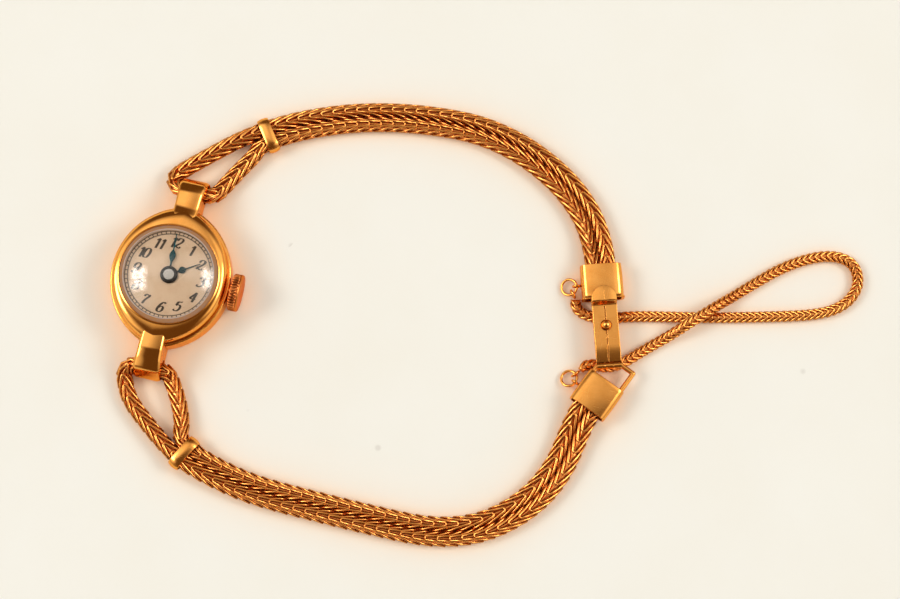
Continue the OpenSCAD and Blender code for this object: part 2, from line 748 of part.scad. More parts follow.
module pallet_bar(z0, z1, grow) {
    at(pallet_p) rotate(pallet_turn) translate([-0.35 - grow, -0.3 - grow, z0])
        cube([1.85 + 2 * grow, 0.6 + 2 * grow, z1 - z0]);
}
module pallet_bridge() {
    color("lightsteelblue") difference() {
        pallet_bar(plate_z, plate_z + 0.3, 0);
        at(pallet_p) disc(0.07 + pivot_clear, 0, 9);
        at(pallet_screw_p) disc(small_screw_r, 0, 9);
        at(pallet_screw_p) disc(small_head_r, 0, plate_z + small_head_t);
    }
}
module balance_cock() {
    low = bridge_z - 0.45;
    foot = polar(bridge_r - 0.75, cock_dir);
    color("lightsteelblue") difference() {
        union() {
            at(balance_p) disc(0.75, low, low + 0.32);
            intersection() {
                disc(bridge_r, low, plate_z);
                union() {
                    at(balance_p) rotate(atan2(foot.y - balance_p.y, foot.x - balance_p.x))
                        translate([0, -0.55, low]) cube([3, 1.1, 0.32]);
                    difference() {
                        at(foot) disc(0.65, low, plate_z);
                        at(balance_p) disc(balance_r + 0.1, low + 0.32, 9);
                    }
                }
            }
        }
        at(balance_p) disc(0.06 + pivot_clear, 0, 9);
        at(cock_screw_p) disc(screw_r, 0, 9);
    }
}
module screw(p, top) {
    head = top - screw_head_t;
    at(p) difference() {
        union() {
            disc(screw_head_r, head, top);
            disc(screw_r, head + screw_head_t / 2, plate_z + screw_deep);
        }
        rotate(30) translate([-2 * screw_head_r, -slot_w / 2, head - slot_t])
            cube([4 * screw_head_r, slot_w, 2 * slot_t]);
    }
}
module bridge_screws() {
    color("slategray") {
        for (p = screw_ps) screw(p, bridge_z);
        screw(cock_screw_p, bridge_z - 0.45);
        at(pallet_screw_p) {
            disc(small_head_r, plate_z, plate_z + small_head_t);
            disc(small_screw_r, plate_z + small_head_t, plate_z + small_screw_deep);
        }
    }
}

// Movement: going train
module barrel() {
    z0 = plate_z + 0.47;
    top = wheel_roof - 0.06;
    r = barrel_mod * (barrel_teeth / 2 - 1.25) - 0.2;
    color("khaki") at(barrel_p) difference() {
        union() {
            disc(r, z0, top);
            translate([0, 0, top - 0.3]) linear_extrude(0.26)
                rotate(barrel_dir + 180) teeth(barrel_teeth, barrel_mod);
        }
        disc(r - 0.15, z0 - 1, top - 0.12);
        disc(0.3 + pivot_clear, 0, 9);
    }
}
module barrel_cover() {
    z0 = plate_z + 0.47;
    r = barrel_mod * (barrel_teeth / 2 - 1.25) - 0.35;
    color("khaki") at(barrel_p) ring(r, 0.3 + pivot_clear, z0 - 0.1, z0 + 0.03);
}
// A spiral strip as a flat outline, given its turns, its two radii and its thickness
function spiral(turns, r0, r1, t, n) = [
    for (k = [0:n]) polar(r0 + (r1 - r0) * k / n + t / 2, k * turns * 360 / n)
];
module spiral_strip(turns, r0, r1, t, n) {
    polygon(concat(spiral(turns, r0, r1, t, n), flip(spiral(turns, r0, r1, -t, n))));
}
module mainspring() {
    r = barrel_mod * (barrel_teeth / 2 - 1.25) - 0.35;
    color("steelblue") at(barrel_p) translate([0, 0, plate_z + 0.55])
        linear_extrude(0.65) spiral_strip(7, 0.52, r - 0.06, 0.06, 140);
}
module centre_wheel() {
    color("gold") {
        wheel(centre_teeth, centre_mod, plate_z + 0.07, 0.15, third_dir, 0.5, 0.2, 5);
        arbor(0.2, plate_z + 0.03, minute_z - 0.02, 0.14, bridge_z + 0.05, plate_z + 0.1);
        pinion(centre_leaves, barrel_mod, wheel_roof - 0.4, 0.38, barrel_dir);
    }
}
module third_wheel() {
    color("gold") at(third_p) {
        wheel(third_teeth, third_mod, plate_z + 0.55, 0.15, fourth_dir, 0.4, 0.18, 5);
        arbor(0.12, plate_z + 0.03, wheel_roof - 0.02, 0.07, bridge_z + 0.05, wheel_roof + 0.25);
        pinion(third_leaves, centre_mod, plate_z + 0.04, 0.5, third_dir + 180);
    }
}
module fourth_wheel() {
    color("gold") at(fourth_p) {
        wheel(fourth_teeth, fourth_mod, wheel_roof - 0.4, 0.15, escape_dir, 0.4, 0.18, 5);
        arbor(0.12, plate_z + 0.03, wheel_roof - 0.02, 0.07, bridge_z + 0.05, wheel_roof + 0.25);
        pinion(fourth_leaves, third_mod, plate_z + 0.5, 0.4, fourth_dir + 180);
    }
}
escape_r = 1.05;
module escape_wheel() {
    p = 360 / escape_teeth;
    color("silver") at(escape_p) {
        translate([0, 0, plate_z + 0.55]) linear_extrude(0.15) difference() {
            polygon([for (i = [0:escape_teeth - 1], s = [[0, 0.78], [0.08, 0.97], [0.04, 1], [0.28, 0.98], [0.42, 0.78]])
                polar(escape_r * s[1], (i + s[0]) * p)]);
            difference() {
                circle(escape_r * 0.62);
                circle(0.28);
                for (k = [0:3]) rotate(k * 90) translate([0, -0.06]) square([escape_r * 0.7, 0.12]);
            }
        }
        arbor(0.1, plate_z + 0.03, wheel_roof - 0.02, 0.07, bridge_z + 0.05, wheel_roof + 0.25);
        pinion(escape_leaves, fourth_mod, wheel_roof - 0.45, 0.3, escape_dir + 180);
    }
}
module pallet_fork() {
    d = balance_p - pallet_p;
    e = escape_p - pallet_p;
    toward_balance = atan2(d.y, d.x);
    toward_escape = atan2(e.y, e.x);
    color("gray") at(pallet_p) {
        translate([0, 0, plate_z + 0.5]) linear_extrude(0.2) union() {
            circle(0.16);
            rotate(toward_balance) difference() {
                translate([0, -0.06]) square([norm(d) - 0.4, 0.12]);
                translate([norm(d) - 0.5, -0.03]) square([1, 0.06]);
            }
            for (s = [-1, 1]) rotate(toward_escape + s * 66) translate([0, -0.06]) square([0.62, 0.12]);
        }
        arbor(0.09, plate_z + 0.33, wheel_roof - 0.02, 0.07, plate_z + 0.05, wheel_roof + 0.25);
    }
}
module balance() {
    color("gold") at(balance_p) {
        difference() {
            disc(balance_r, bridge_z + 0.15, bridge_z + 0.38);
            difference() {
                disc(balance_r - 0.2, 0, 9);
                disc(0.3, 0, 9);
                translate([-3, -0.12, 0]) cube([6, 0.24, 9]);
            }
        }
        disc(0.1, bridge_z - 0.1, wheel_roof - 0.02);
        disc(0.06, bridge_z - 0.4, wheel_roof + 0.25);
        disc(0.32, plate_z + 0.55, plate_z + 0.68);
    }
}
module hairspring() {
    color("steelblue") at(balance_p) translate([0, 0, bridge_z - 0.08])
        linear_extrude(0.1) spiral_strip(5, 0.2, 0.72, 0.03, 120);
    color("steelblue") at(balance_p + polar(0.7, 0)) disc(0.05, bridge_z - 0.13, bridge_z + 0.02);
}

// Motion work, dial and hands
module cannon_pinion() {
    color("silver") difference() {
        union() {
            disc(cannon_r, plate_top + 0.2, minute_z + hand_t);
            pinion(cannon_leaves, motion_mod, plate_top + 0.03, 0.18, motion_dir);
            disc(0.62, minute_z + hand_t, minute_z + hand_t + 0.12);
        }
        disc(0.2 + pivot_clear, 0, minute_z + 0.02);
    }
}
module minute_wheel() {
    color("gold") at(minute_p) {
        wheel(minute_teeth, motion_mod, plate_top + 0.05, 0.1, motion_dir + 180, 0.45, 0.2, 4);
        pinion(minute_leaves, motion_mod, plate_top + 0.1, 0.31, motion_dir + 180);
        disc(0.1, plate_top - 0.35, plate_top + 0.1);
    }
}
module hour_wheel() {
    color("gold") difference() {
        union() {
            translate([0, 0, plate_top + 0.28]) linear_extrude(0.11)
                rotate(motion_dir) teeth(hour_teeth, motion_mod);
            disc(pipe_r, plate_top + 0.28, hour_z + hand_t);
        }
        disc(cannon_r + 0.03, 0, 9);
    }
}
module dial() {
    color("antiquewhite") difference() {
        disc(dial_r, dial_z, dial_top);
        disc(pipe_r + 0.08, 0, 9);
    }
    color("antiquewhite") for (a = [60, 240]) at(polar(dial_r - 0.45, a)) disc(0.2, plate_top - 0.4, dial_z);
}
// A hand: a ring at the centre, a leaf, then a fine needle
module hand(hole, boss, leaf0, leaf1, leaf_wide, tip) {
    half = (leaf1 - leaf0) / 2;
    arc = (half * half + leaf_wide * leaf_wide / 4) / leaf_wide;
    difference() {
        union() {
            cylinder(h = hand_t, r = boss);
            translate([0, (leaf0 + leaf1) / 2, 0]) intersection() {
                translate([arc - leaf_wide / 2, 0, 0]) cylinder(h = hand_t, r = arc);
                translate([leaf_wide / 2 - arc, 0, 0]) cylinder(h = hand_t, r = arc);
            }
            linear_extrude(hand_t) polygon([
                [-0.1, boss - 0.2], [-0.04, tip], [0.04, tip], [0.1, boss - 0.2]
            ]);
        }
        translate([0, 0, -1]) cylinder(h = 2 + hand_t, r = hole);
    }
}
module hour_hand() {
    color("teal") translate([0, 0, hour_z]) rotate(-hour_deg)
        hand(pipe_r, 0.96, 1, hour_len * 0.52, 0.78, hour_len);
}
module minute_hand() {
    color("teal") translate([0, 0, minute_z]) rotate(-minute_deg)
        hand(cannon_r, 0.8, 1, minute_len * 0.61, 0.68, minute_len);
}

// Bracelet
module upper_chain() {
    color("orange") woven_chain(half_chain(1, upper_left_v, upper_right_v, 139, 58,
        half_route(upper_keeper_p, upper_keeper_turn, upper_route, upper_cap, upper_turn)));
}
module lower_chain() {
    color("orange") woven_chain(half_chain(-1, lower_left_v, lower_right_v, 120, 60,
        half_route(lower_keeper_p, lower_keeper_turn, lower_route, lower_cap, lower_turn)));
}
module keeper() {
    h = 2 * keeper_z;
    hole_w = keeper_w - 2 * keeper_wall;
    hole_h = h - 2 * keeper_wall;
    difference() {
        flat_tube(keeper_w, h, keeper_round, -keeper_len / 2, keeper_len / 2, keeper_z);
        flat_tube(hole_w, hole_h, keeper_round - keeper_wall, -keeper_len, keeper_len, keeper_z);
    }
}
module upper_keeper() {
    color("gold") at(upper_keeper_p) rotate(upper_keeper_turn) keeper();
}
module lower_keeper() {
    color("gold") at(lower_keeper_p) rotate(lower_keeper_turn) keeper();
}
module cap_shell() {
    difference() {
        children();
        difference() {
            flat_tube(cap_w - 2 * cap_wall, cap_h - 2 * cap_wall, 0.7, -cap_len, cap_len, cap_z);
            translate([-wall_x, -cap_w, 0]) cube([2 * wall_x, 2 * cap_w, 9]);
        }
    }
}
module upper_end_cap() {
    color("gold") at_upper_cap() cap_shell() {
        union() {
            flat_tube(cap_w, cap_h, 1, -cap_len / 2, cap_len / 2, cap_z);
            flat_tube(cap_w + 2 * lip, cap_h + 2 * lip, 1.1, cap_len / 2 - 0.35, cap_len / 2, cap_z);
        }
    }
}
module lower_end_cap() {
    color("gold") at_lower_cap() {
        cap_shell() flat_tube(cap_w, cap_h, 1, -cap_len / 2, cap_len / 2 - cap_wall, cap_z);
        flat_tube(cap_w, cap_h, 1, cap_len / 2 - cap_wall, cap_len / 2, cap_z);
    }
}
module leaf_plan(x0, knuckles) {
    end = leaf_len - knuckle_r - 0.05;
    translate([x0, -leaf_w / 2]) square([end - x0, leaf_w]);
    for (k = knuckles) translate([end - 0.1, k[0]]) square([knuckle_r, k[1] - k[0]]);
}
centre_knuckle = [[-leaf_w / 6, leaf_w / 6]];
outer_knuckles = [[-leaf_w / 2, -leaf_w / 6 - 0.05], [leaf_w / 6 + 0.05, leaf_w / 2]];
module knuckle(k, bore) {
    translate([leaf_len, k[0], hinge_z]) rotate([-90, 0, 0]) difference() {
        cylinder(h = k[1] - k[0], r = knuckle_r);
        translate([0, 0, -1]) cylinder(h = k[1] - k[0] + 2, r = bore);
    }
}
module clasp_base_leaf() {
    color("gold") at_upper_cap() {
        difference() {
            union() {
                translate([0, 0, base_z]) linear_extrude(leaf_t) leaf_plan(wall_x, outer_knuckles);
                for (k = outer_knuckles) knuckle(k, 0);
            }
            translate([leaf_len, -9, hinge_z]) rotate([-90, 0, 0]) cylinder(h = 18, r = pin_r);
        }
    }
}
module clasp_ball_stud() {
    color("gold") at_upper_cap() translate([ball_x, 0, 0]) {
        disc(0.28, base_z + leaf_t, fold_z + leaf_t);
        intersection() {
            translate([0, 0, fold_z + leaf_t + ball_r * 0.5]) sphere(ball_r);
            disc(1, fold_z, 9);
        }
    }
}
module clasp_fold_leaf() {
    end = leaf_len - knuckle_r - 0.05;
    tab0 = cap_len / 2 - 1.4;
    tab1 = cap_len / 2 + 0.4;
    foot = tab1 + 0.5;
    color("gold") at_upper_cap() difference() {
        union() {
            intersection() {
                rotate([90, 0, 0]) linear_extrude(leaf_w, center = true) polygon([
                    [tab0, tab_z], [tab1, tab_z], [foot, fold_z], [end, fold_z],
                    [end, fold_z + leaf_t], [foot + 0.1, fold_z + leaf_t],
                    [tab1 + 0.1, tab_z + leaf_t], [tab0, tab_z + leaf_t]
                ]);
                linear_extrude(9) union() {
                    translate([tab0 + leaf_w / 2, 0]) circle(leaf_w / 2);
                    translate([tab0 + leaf_w / 2, -leaf_w / 2]) square([leaf_len, leaf_w]);
                }
            }
            translate([0, 0, fold_z]) linear_extrude(leaf_t)
                translate([end - 0.1, -leaf_w / 6]) square([knuckle_r, leaf_w / 3]);
            knuckle(centre_knuckle[0], 0);
        }
        translate([leaf_len, -9, hinge_z]) rotate([-90, 0, 0]) cylinder(h = 18, r = pin_r + pivot_clear);
        translate([ball_x, 0, 0]) disc(ball_r + 0.1, 0, 9);
        translate([foot + 0.3, -0.12, 0]) cube([leaf_len - foot - 1.5, 0.24, 9]);
    }
}
module clasp_hinge_pin() {
    color("silver") at_upper_cap() translate([leaf_len, -leaf_w / 2, hinge_z]) rotate([-90, 0, 0])
        cylinder(h = leaf_w, r = pin_r);
}
module catch_loop() {
    y = loop_w / 2 - loop_wire_r;
    x0 = cap_len / 2;
    x1 = cap_len / 2 + loop_len - loop_wire_r;
    color("gold") at_lower_cap() translate([0, 0, loop_z]) {
        for (s = [-1, 1]) {
            translate([x0, s * y, 0]) rotate([0, 90, 0]) cylinder(h = x1 - x0, r = loop_wire_r);
            translate([x1, s * y, 0]) sphere(loop_wire_r);
        }
        translate([x1, -y, 0]) rotate([-90, 0, 0]) cylinder(h = 2 * y, r = loop_wire_r);
    }
}
// Eyelet on a cap's side. A jump ring hangs in it and holds the chain's last link
module eyelet(side, x) {
    translate([x, side * eye_y, eye_z]) rotate([0, 90, 0]) torus(eye_r, eye_wire_r);
}
module upper_eyelet() {
    color("gold") at_upper_cap() difference() {
        eyelet(-1, upper_eye_x);
        flat_tube(cap_w, cap_h, 1, -9, 9, cap_z);
    }
}
module lower_eyelet() {
    color("gold") at_lower_cap() difference() {
        eyelet(1, lower_eye_x);
        flat_tube(cap_w, cap_h, 1, -9, 9, cap_z);
    }
}
upper_eye_x = 0.2;
lower_eye_x = -0.15;
module jump_ring(side, x) {
    translate([x, side * eye_y, eye_z]) rotate([-side * ring_tilt, 0, 0])
        translate([0, side * ring_r, 0]) torus(ring_r, ring_wire_r);
}
module upper_jump_ring() {
    color("gold") at_upper_cap() jump_ring(-1, upper_eye_x);
}
module lower_jump_ring() {
    color("gold") at_lower_cap() jump_ring(1, lower_eye_x);
}
upper_link_turn = -50;
lower_link_turn = 48;
upper_ring_p = along(upper_cap, upper_turn, upper_eye_x, -eye_y - ring_r * cos(ring_tilt));
lower_ring_p = along(lower_cap, lower_turn, lower_eye_x, eye_y + ring_r * cos(ring_tilt));
upper_link_p = upper_ring_p + polar(ring_r, upper_link_turn);
lower_link_p = lower_ring_p + polar(ring_r, lower_link_turn);
module chain_link(p, turn) {
    translate([p.x, p.y, link_z]) rotate(turn) rotate([90, 0, 0]) torus(link_r, eye_wire_r);
}
module upper_chain_link() {
    color("gold") chain_link(upper_link_p, upper_link_turn);
}
module lower_chain_link() {
    color("gold") chain_link(lower_link_p, lower_link_turn);
}
// The safety chain lies free on the table and crosses over itself once
module safety_chain() {
    gap = link_r + eye_wire_r + 0.12;
    start = upper_link_p + polar(gap, upper_link_turn);
    stop = lower_link_p + polar(gap, lower_link_turn);
    points = concat([[start.x, start.y, 0]], safety_route, [[stop.x, stop.y, 0]]);
    t = tables(rounded([for (p = points) p + [0, 0, safety_d / 2]], 3));
    total = t[0][len(t[0]) - 1][0];
    rings = 60;
    color("orange") polyhedron([
        for (i = [0:rings], k = [0:7])
            let (s = total * i / rings, p = at_length(t, s))
            let (ahead = at_length(t, min(s + 0.2, total)), behind = at_length(t, max(s - 0.2, 0)))
            let (dir = unit(ahead - behind), out = unit(cross([0, 0, 1], dir)), up = cross(dir, out))
            p + (out * cos(45 * k) + up * sin(45 * k)) * safety_d / 2
    ], tube_faces(rings, 8));
}

case_back();
case_middle();
bezel();
crystal();
upper_lug();
lower_lug();
crown_tube();
crown();
winding_stem();
sliding_pinion();
winding_pinion();
crown_wheel();
ratchet_wheel();
barrel_arbor();
click();
setting_lever();
yoke();
main_plate();
barrel_bridge();
train_bridge();
pallet_bridge();
balance_cock();
bridge_screws();
barrel();
barrel_cover();
mainspring();
centre_wheel();
third_wheel();
fourth_wheel();
escape_wheel();
pallet_fork();
balance();
hairspring();
cannon_pinion();
minute_wheel();
hour_wheel();
dial();
hour_hand();
minute_hand();
upper_chain();
lower_chain();
upper_keeper();
lower_keeper();
upper_end_cap();
lower_end_cap();
clasp_base_leaf();
clasp_ball_stud();
clasp_fold_leaf();
clasp_hinge_pin();
catch_loop();
upper_eyelet();
lower_eyelet();
upper_jump_ring();
lower_jump_ring();
upper_chain_link();
lower_chain_link();
safety_chain();
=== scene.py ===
"""Looks of a lady's watch on a doubled chain bracelet, laid as a Blender add-on.

Every piece is a surface worked out with numpy in millimetres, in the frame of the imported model,
and scaled to metres once, in new_piece. Sizes that a user can change, shaders and windows are in
metres.
"""
import math

import bmesh
import bpy
import numpy as np
from bpy.props import FloatProperty, FloatVectorProperty, IntProperty, PointerProperty
from mathutils import Matrix


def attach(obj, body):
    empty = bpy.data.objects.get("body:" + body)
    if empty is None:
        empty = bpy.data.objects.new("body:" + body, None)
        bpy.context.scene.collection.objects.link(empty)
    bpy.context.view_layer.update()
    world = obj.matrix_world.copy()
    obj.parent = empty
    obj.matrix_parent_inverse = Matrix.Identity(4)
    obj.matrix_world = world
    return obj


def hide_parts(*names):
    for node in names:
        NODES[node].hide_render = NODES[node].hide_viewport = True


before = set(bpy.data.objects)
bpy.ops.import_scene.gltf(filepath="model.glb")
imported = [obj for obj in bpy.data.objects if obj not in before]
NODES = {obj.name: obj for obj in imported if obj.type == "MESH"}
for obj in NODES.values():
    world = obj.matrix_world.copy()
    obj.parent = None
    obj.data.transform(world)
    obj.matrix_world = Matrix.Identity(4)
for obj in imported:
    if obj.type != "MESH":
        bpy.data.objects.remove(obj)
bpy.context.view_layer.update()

bl_info = {
    "name": "Watch on a Chain Bracelet",
    "version": (1, 0, 0),
    "blender": (4, 5, 0),
    "location": "3D View > Sidebar > Watch",
    "description": "Dresses a packed watch with woven chain, case, dial, hands and clasp",
    "category": "Object",
}

MM = 0.001
PACKED = {m.name for m in bpy.data.materials}

# Places and sizes that the CAD source gives, in millimetres
ARC_C = 1.725
BEZEL_R = 8.575
CASE_SIDE = 7.2
CASE_TOP = 3.3
BEZEL_TOP = 5.2
SHOULDER = 1.4
CRYSTAL_R = 5.9
CRYSTAL_TOP = 6.95
DOME_R = 10.57
SEAT_Z = 4.7
CRYSTAL_WALL = 0.45
BORE_R = 5.95
LEDGE_R = 5.5
LEDGE_Z = 4.52
DIAL_TOP = 4.5
HOUR_Z = 4.62
MINUTE_Z = 4.8
HAND_T = 0.1
LUG_W = 2.95
LUG_Y = 11.0
LUG_Z = 1.75
TUNNEL_R = 1.15
LUG_R = 1.45
HOOD_Z = 4.5
STEM_Z = 2.5
CROWN_X = CASE_SIDE + 0.2
CROWN_R = 2.25
STRAND_R = 0.9
STRAND_GAP = 0.87
SAFETY_R = 0.55
KEEPER_LEN = 1.4
KEEPER_Z = 1.24
KEEPER_W = 4.38
KEEPER_WALL = 0.28
CAP_W = 5.0
CAP_LEN = 4.2
CAP_H = 2.8
CAP_WALL = 0.3
CAP_CORNER = 0.72
CAP_Z = 1.5
LEAF_W = 3.0
LEAF_T = 0.3
FOLD_Z = 2.55
TAB_Z = 3.1
HINGE_Z = 2.45
LEAF_LEN = 10.3
KNUCKLE_R = 0.4
BALL_X = 5.45
UPPER_EYE_X = 0.2
LOWER_EYE_X = -0.15
EYE_Y = 3.0
RING_TILT = 20.0
JUMP_RING_R = 0.95
END_LINK_R = 0.5
END_WIRE_R = 0.14
UPPER_LINK_TURN = -50.0
LOWER_LINK_TURN = 48.0
UPPER_CAP = (50.45, 11.3)
UPPER_TURN = -73.0
LOWER_CAP = (52.8, -2.25)
LOWER_TURN = 67.0
UPPER_KEEPER = (7.0, 20.0)
UPPER_KEEPER_TURN = 36.0
LOWER_KEEPER = (6.5, -20.0)
LOWER_KEEPER_TURN = -28.0
UPPER_ROUTE = [
    (11, 22.4), (16.5, 24.6), (22.5, 26), (28.5, 26.6), (33, 26.5),
    (38.2, 25.2), (43.4, 22.5), (47, 19.2), (48.8, 16.2),
]
LOWER_ROUTE = [
    (10.5, -21.4), (15.5, -22.4), (22.5, -22.6), (30, -22.7), (37, -22.6),
    (42, -21.2), (45.7, -18.7), (48.7, -15.3), (50.5, -11.2), (51.1, -7.5),
]
UPPER_V = ([(0.2, 15.7), (3.2, 18.4)], [(4.4, 14.8), (6, 17.4)])
LOWER_V = ([(-1.6, -15.2), (1.6, -17.8)], [(4.2, -13.9), (5.4, -16.6)])
SAFETY_ROUTE = [
    (48.1, 7.7, 0), (49.5, 7, 0), (52, 7.2, 0), (55, 8.3, 0), (63, 9.9, 0), (70, 11.6, 0),
    (77, 13.5, 0), (79.8, 15.4, 0), (80.9, 18, 0), (80, 20.4, 0), (77.8, 21.1, 0),
    (75, 20.4, 0), (71.4, 18.2, 0), (68, 15, 0), (66.4, 13.4, 0), (65.2, 12.2, 0.9),
    (64, 11, 1.3), (63, 10, 1.35), (62, 9, 1.3), (60.8, 7.8, 0.9), (59.6, 6.7, 0),
    (57.6, 4.9, 0), (55.6, 2.9, 0), (54.2, 1.8, 0), (52.8, 1.4, 0), (51.6, 1.5, 0),
    (50.7, 1.1, 0),
]

# The photo as a view: its middle and width in millimetres, measured in a level plane at this
# height, its turn about Z and the lean of its camera
PHOTO_MIDDLE = (33.19, 4.89)
PHOTO_WIDTH = 107.6
PHOTO_PLANE = 3.0
PHOTO_TURN = math.radians(13)
PHOTO_TILT = math.radians(10)

# The two windows: how far aside, along and above the photo's middle, in metres, and their lean
WINDOW_X = 0.62
WINDOW_Y = 0.05
WINDOW_Z = 0.56
WINDOW_LEAN = math.radians(48)


def length_property(name, description, default):
    return FloatProperty(name=name, description=description, default=default, unit="LENGTH")


def angle_property(name, description, degrees):
    return FloatProperty(name=name, description=description, default=math.radians(degrees),
                         unit="ROTATION", subtype="ANGLE")


def colour_property(name, description, default):
    return FloatVectorProperty(name=name, description=description, default=default, subtype="COLOR")


class WatchSizes(bpy.types.PropertyGroup):
    """Sizes of the pieces that a user would change"""

    link_pitch: length_property("Link pitch", "Length that one link of the woven chain takes up", 0.00145)
    link_wire: length_property("Link wire", "Radius of the wire of the woven chain", 0.000125)
    safety_pitch: length_property("Safety link pitch", "Length of one link of the safety chain", 0.00074)
    safety_wire: length_property("Safety link wire", "Radius of the wire of the safety chain", 0.00011)
    hour_len: length_property("Hour hand", "Length of the hour hand", 0.0039)
    minute_len: length_property("Minute hand", "Length of the minute hand", 0.005)
    hour_angle: angle_property("Hour reading", "Angle of the hour hand, clockwise from 12", 58)
    minute_angle: angle_property("Minute reading", "Angle of the minute hand, clockwise from 12", 357)
    numeral_height: length_property("Numeral height", "Height of a numeral on the dial", 0.00118)
    numeral_radius: length_property("Numeral circle", "Radius of the circle of the numerals", 0.00392)
    crown_flutes: IntProperty(
        name="Crown flutes", description="Number of flutes round the crown", default=36, min=12)
    camera_height: length_property("Camera height", "Distance from the camera to the photo's middle", 0.26)


class WatchColours(bpy.types.PropertyGroup):
    """Colours of the finishes"""

    gold: colour_property("Gold", "Polished yellow gold", (0.95, 0.43, 0.10))
    rose: colour_property("Rose gold", "Rose gold of the crown", (0.82, 0.27, 0.07))
    steel: colour_property("Steel", "Polished steel of the small parts", (0.5, 0.48, 0.46))
    blued: colour_property("Blued steel", "Blued steel of the hands", (0.004, 0.042, 0.05))
    gilt: colour_property("Gilt brass", "Gilding of the wheels", (0.80, 0.55, 0.22))
    nickel: colour_property("Nickel", "Nickel plating of the plate and bridges", (0.62, 0.60, 0.56))
    dial: colour_property("Dial", "Satin silvering of the dial", (0.57, 0.41, 0.278))
    ink: colour_property("Ink", "Printing on the dial", (0.022, 0.012, 0.007))
    floor: colour_property("Floor", "Pale paper that the watch lies on", (0.82, 0.80, 0.74))


def sizes():
    return bpy.context.scene.watch_sizes


def colours():
    return bpy.context.scene.watch_colours


# Meshes from arrays
def circle(n):
    """Angles of n points spread evenly round a circle."""
    return np.arange(n) * 2 * math.pi / n


def quad_faces(rows, cols, close_rows=False, close_cols=False):
    """Quads of a grid: corner (i, j) joins (i+1, j), (i+1, j+1) and (i, j+1); rows or columns may
    wrap."""
    i, j = np.meshgrid(np.arange(rows if close_rows else rows - 1),
                       np.arange(cols if close_cols else cols - 1), indexing="ij")
    i2, j2 = (i + 1) % rows, (j + 1) % cols
    return np.stack([i * cols + j, i2 * cols + j, i2 * cols + j2, i * cols + j2], -1).reshape(-1, 4)


def grid(x, y, z, close_rows=False, close_cols=False, caps=False):
    """A surface whose points are three arrays that fit one shape; caps closes the first and last
    row with a fan round the row's middle."""
    shape = np.broadcast_shapes(np.shape(x), np.shape(y), np.shape(z))
    verts = np.stack([np.broadcast_to(a, shape) for a in (x, y, z)], -1).reshape(-1, 3)
    faces = [list(f) for f in quad_faces(*shape, close_rows, close_cols).tolist()]
    if caps:
        rows, cols = shape
        ends = verts.reshape(rows, cols, 3)[[0, -1]].mean(1)
        n = len(verts)
        verts = np.vstack([verts, ends])
        ring = np.arange(cols)
        ahead = (ring + 1) % cols
        last = (rows - 1) * cols
        faces += np.stack([ring, ahead, np.full(cols, n)], -1).tolist()
        faces += np.stack([last + ahead, last + ring, np.full(cols, n + 1)], -1).tolist()
    return verts, faces


def joined(parts):
    """Several (points, faces) surfaces as one, with the face numbers moved along."""
    verts, faces, n = [], [], 0
    for v, f in parts:
        verts.append(np.asarray(v, float))
        faces += [[k + n for k in face] for face in f]
        n += len(v)
    return np.vstack(verts), faces


def turned(shape, degrees, place=(0, 0)):
    """A surface turned about Z, then moved level to a place."""
    a = math.radians(degrees)
    turn = np.array([[math.cos(a), -math.sin(a), 0], [math.sin(a), math.cos(a), 0], [0, 0, 1]])
    return np.asarray(shape[0]) @ turn.T + np.array([*place, 0]), shape[1]


def new_piece(name, shape, body, material, node=None, sharp=40):
    """A piece from points in millimetres and their faces. Its normals are made to point outwards,
    and edges sharper than the given angle stay sharp. It stands in for the CAD node."""
    verts, faces = shape
    mesh = bpy.data.meshes.new(name)
    mesh.from_pydata((np.asarray(verts) * MM).tolist(), [], [list(f) for f in faces])
    mesh.validate()
    work = bmesh.new()
    work.from_mesh(mesh)
    bmesh.ops.remove_doubles(work, verts=work.verts, dist=1e-7)
    bmesh.ops.dissolve_degenerate(work, edges=work.edges, dist=1e-8)
    bmesh.ops.recalc_face_normals(work, faces=work.faces)
    work.to_mesh(mesh)
    work.free()
    mesh.polygons.foreach_set("use_smooth", np.full(len(mesh.polygons), True))
    mesh.set_sharp_from_angle(angle=math.radians(sharp))
    mesh.materials.append(material)
    piece = bpy.data.objects.new(name, mesh)
    bpy.context.scene.collection.objects.link(piece)
    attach(piece, body)
    if node:
        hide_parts(node)
    return piece


# Routes
def unit(vectors):
    """The same directions with length one."""
    return vectors / np.linalg.norm(vectors, axis=-1, keepdims=True)


def left_of(steps):
    """Level directions of length one, to the left of the steps."""
    return unit(np.column_stack([-steps[:, 1], steps[:, 0]]))


def cut_corners(points, times=3):
    """Each side of the route is kept from its first to its third quarter, which rounds it."""
    p = np.asarray(points, float)
    for _ in range(times):
        a, b = p[:-1], p[1:]
        mid = np.stack([a * 0.75 + b * 0.25, a * 0.25 + b * 0.75], 1).reshape(-1, p.shape[1])
        p = np.vstack([p[:1], mid, p[-1:]])
    return p


class Route:
    """A polyline read by its length. At a length it gives the place, the side and the up vector:
    side is level and square to the route, and up is square to both."""

    def __init__(self, points):
        self.p = np.asarray(points, float)
        steps = np.linalg.norm(np.diff(self.p, axis=0), axis=1)
        self.s = np.concatenate([[0], np.cumsum(steps)])
        self.total = self.s[-1]

    def place(self, s):
        inside = np.clip(s, 0, self.total)
        first = (self.p[1] - self.p[0]) / (self.s[1] - self.s[0])
        last = (self.p[-1] - self.p[-2]) / (self.s[-1] - self.s[-2])
        past = (np.asarray(s) - inside)[..., None]
        on = np.stack([np.interp(inside, self.s, self.p[:, k]) for k in range(3)], -1)
        return on + np.minimum(past, 0) * first + np.maximum(past, 0) * last

    def frame(self, s, reach=0.1):
        along = unit(self.place(s + reach) - self.place(s - reach))
        side = unit(np.cross([0.0, 0.0, 1.0], along))
        return along, side, np.cross(along, side)


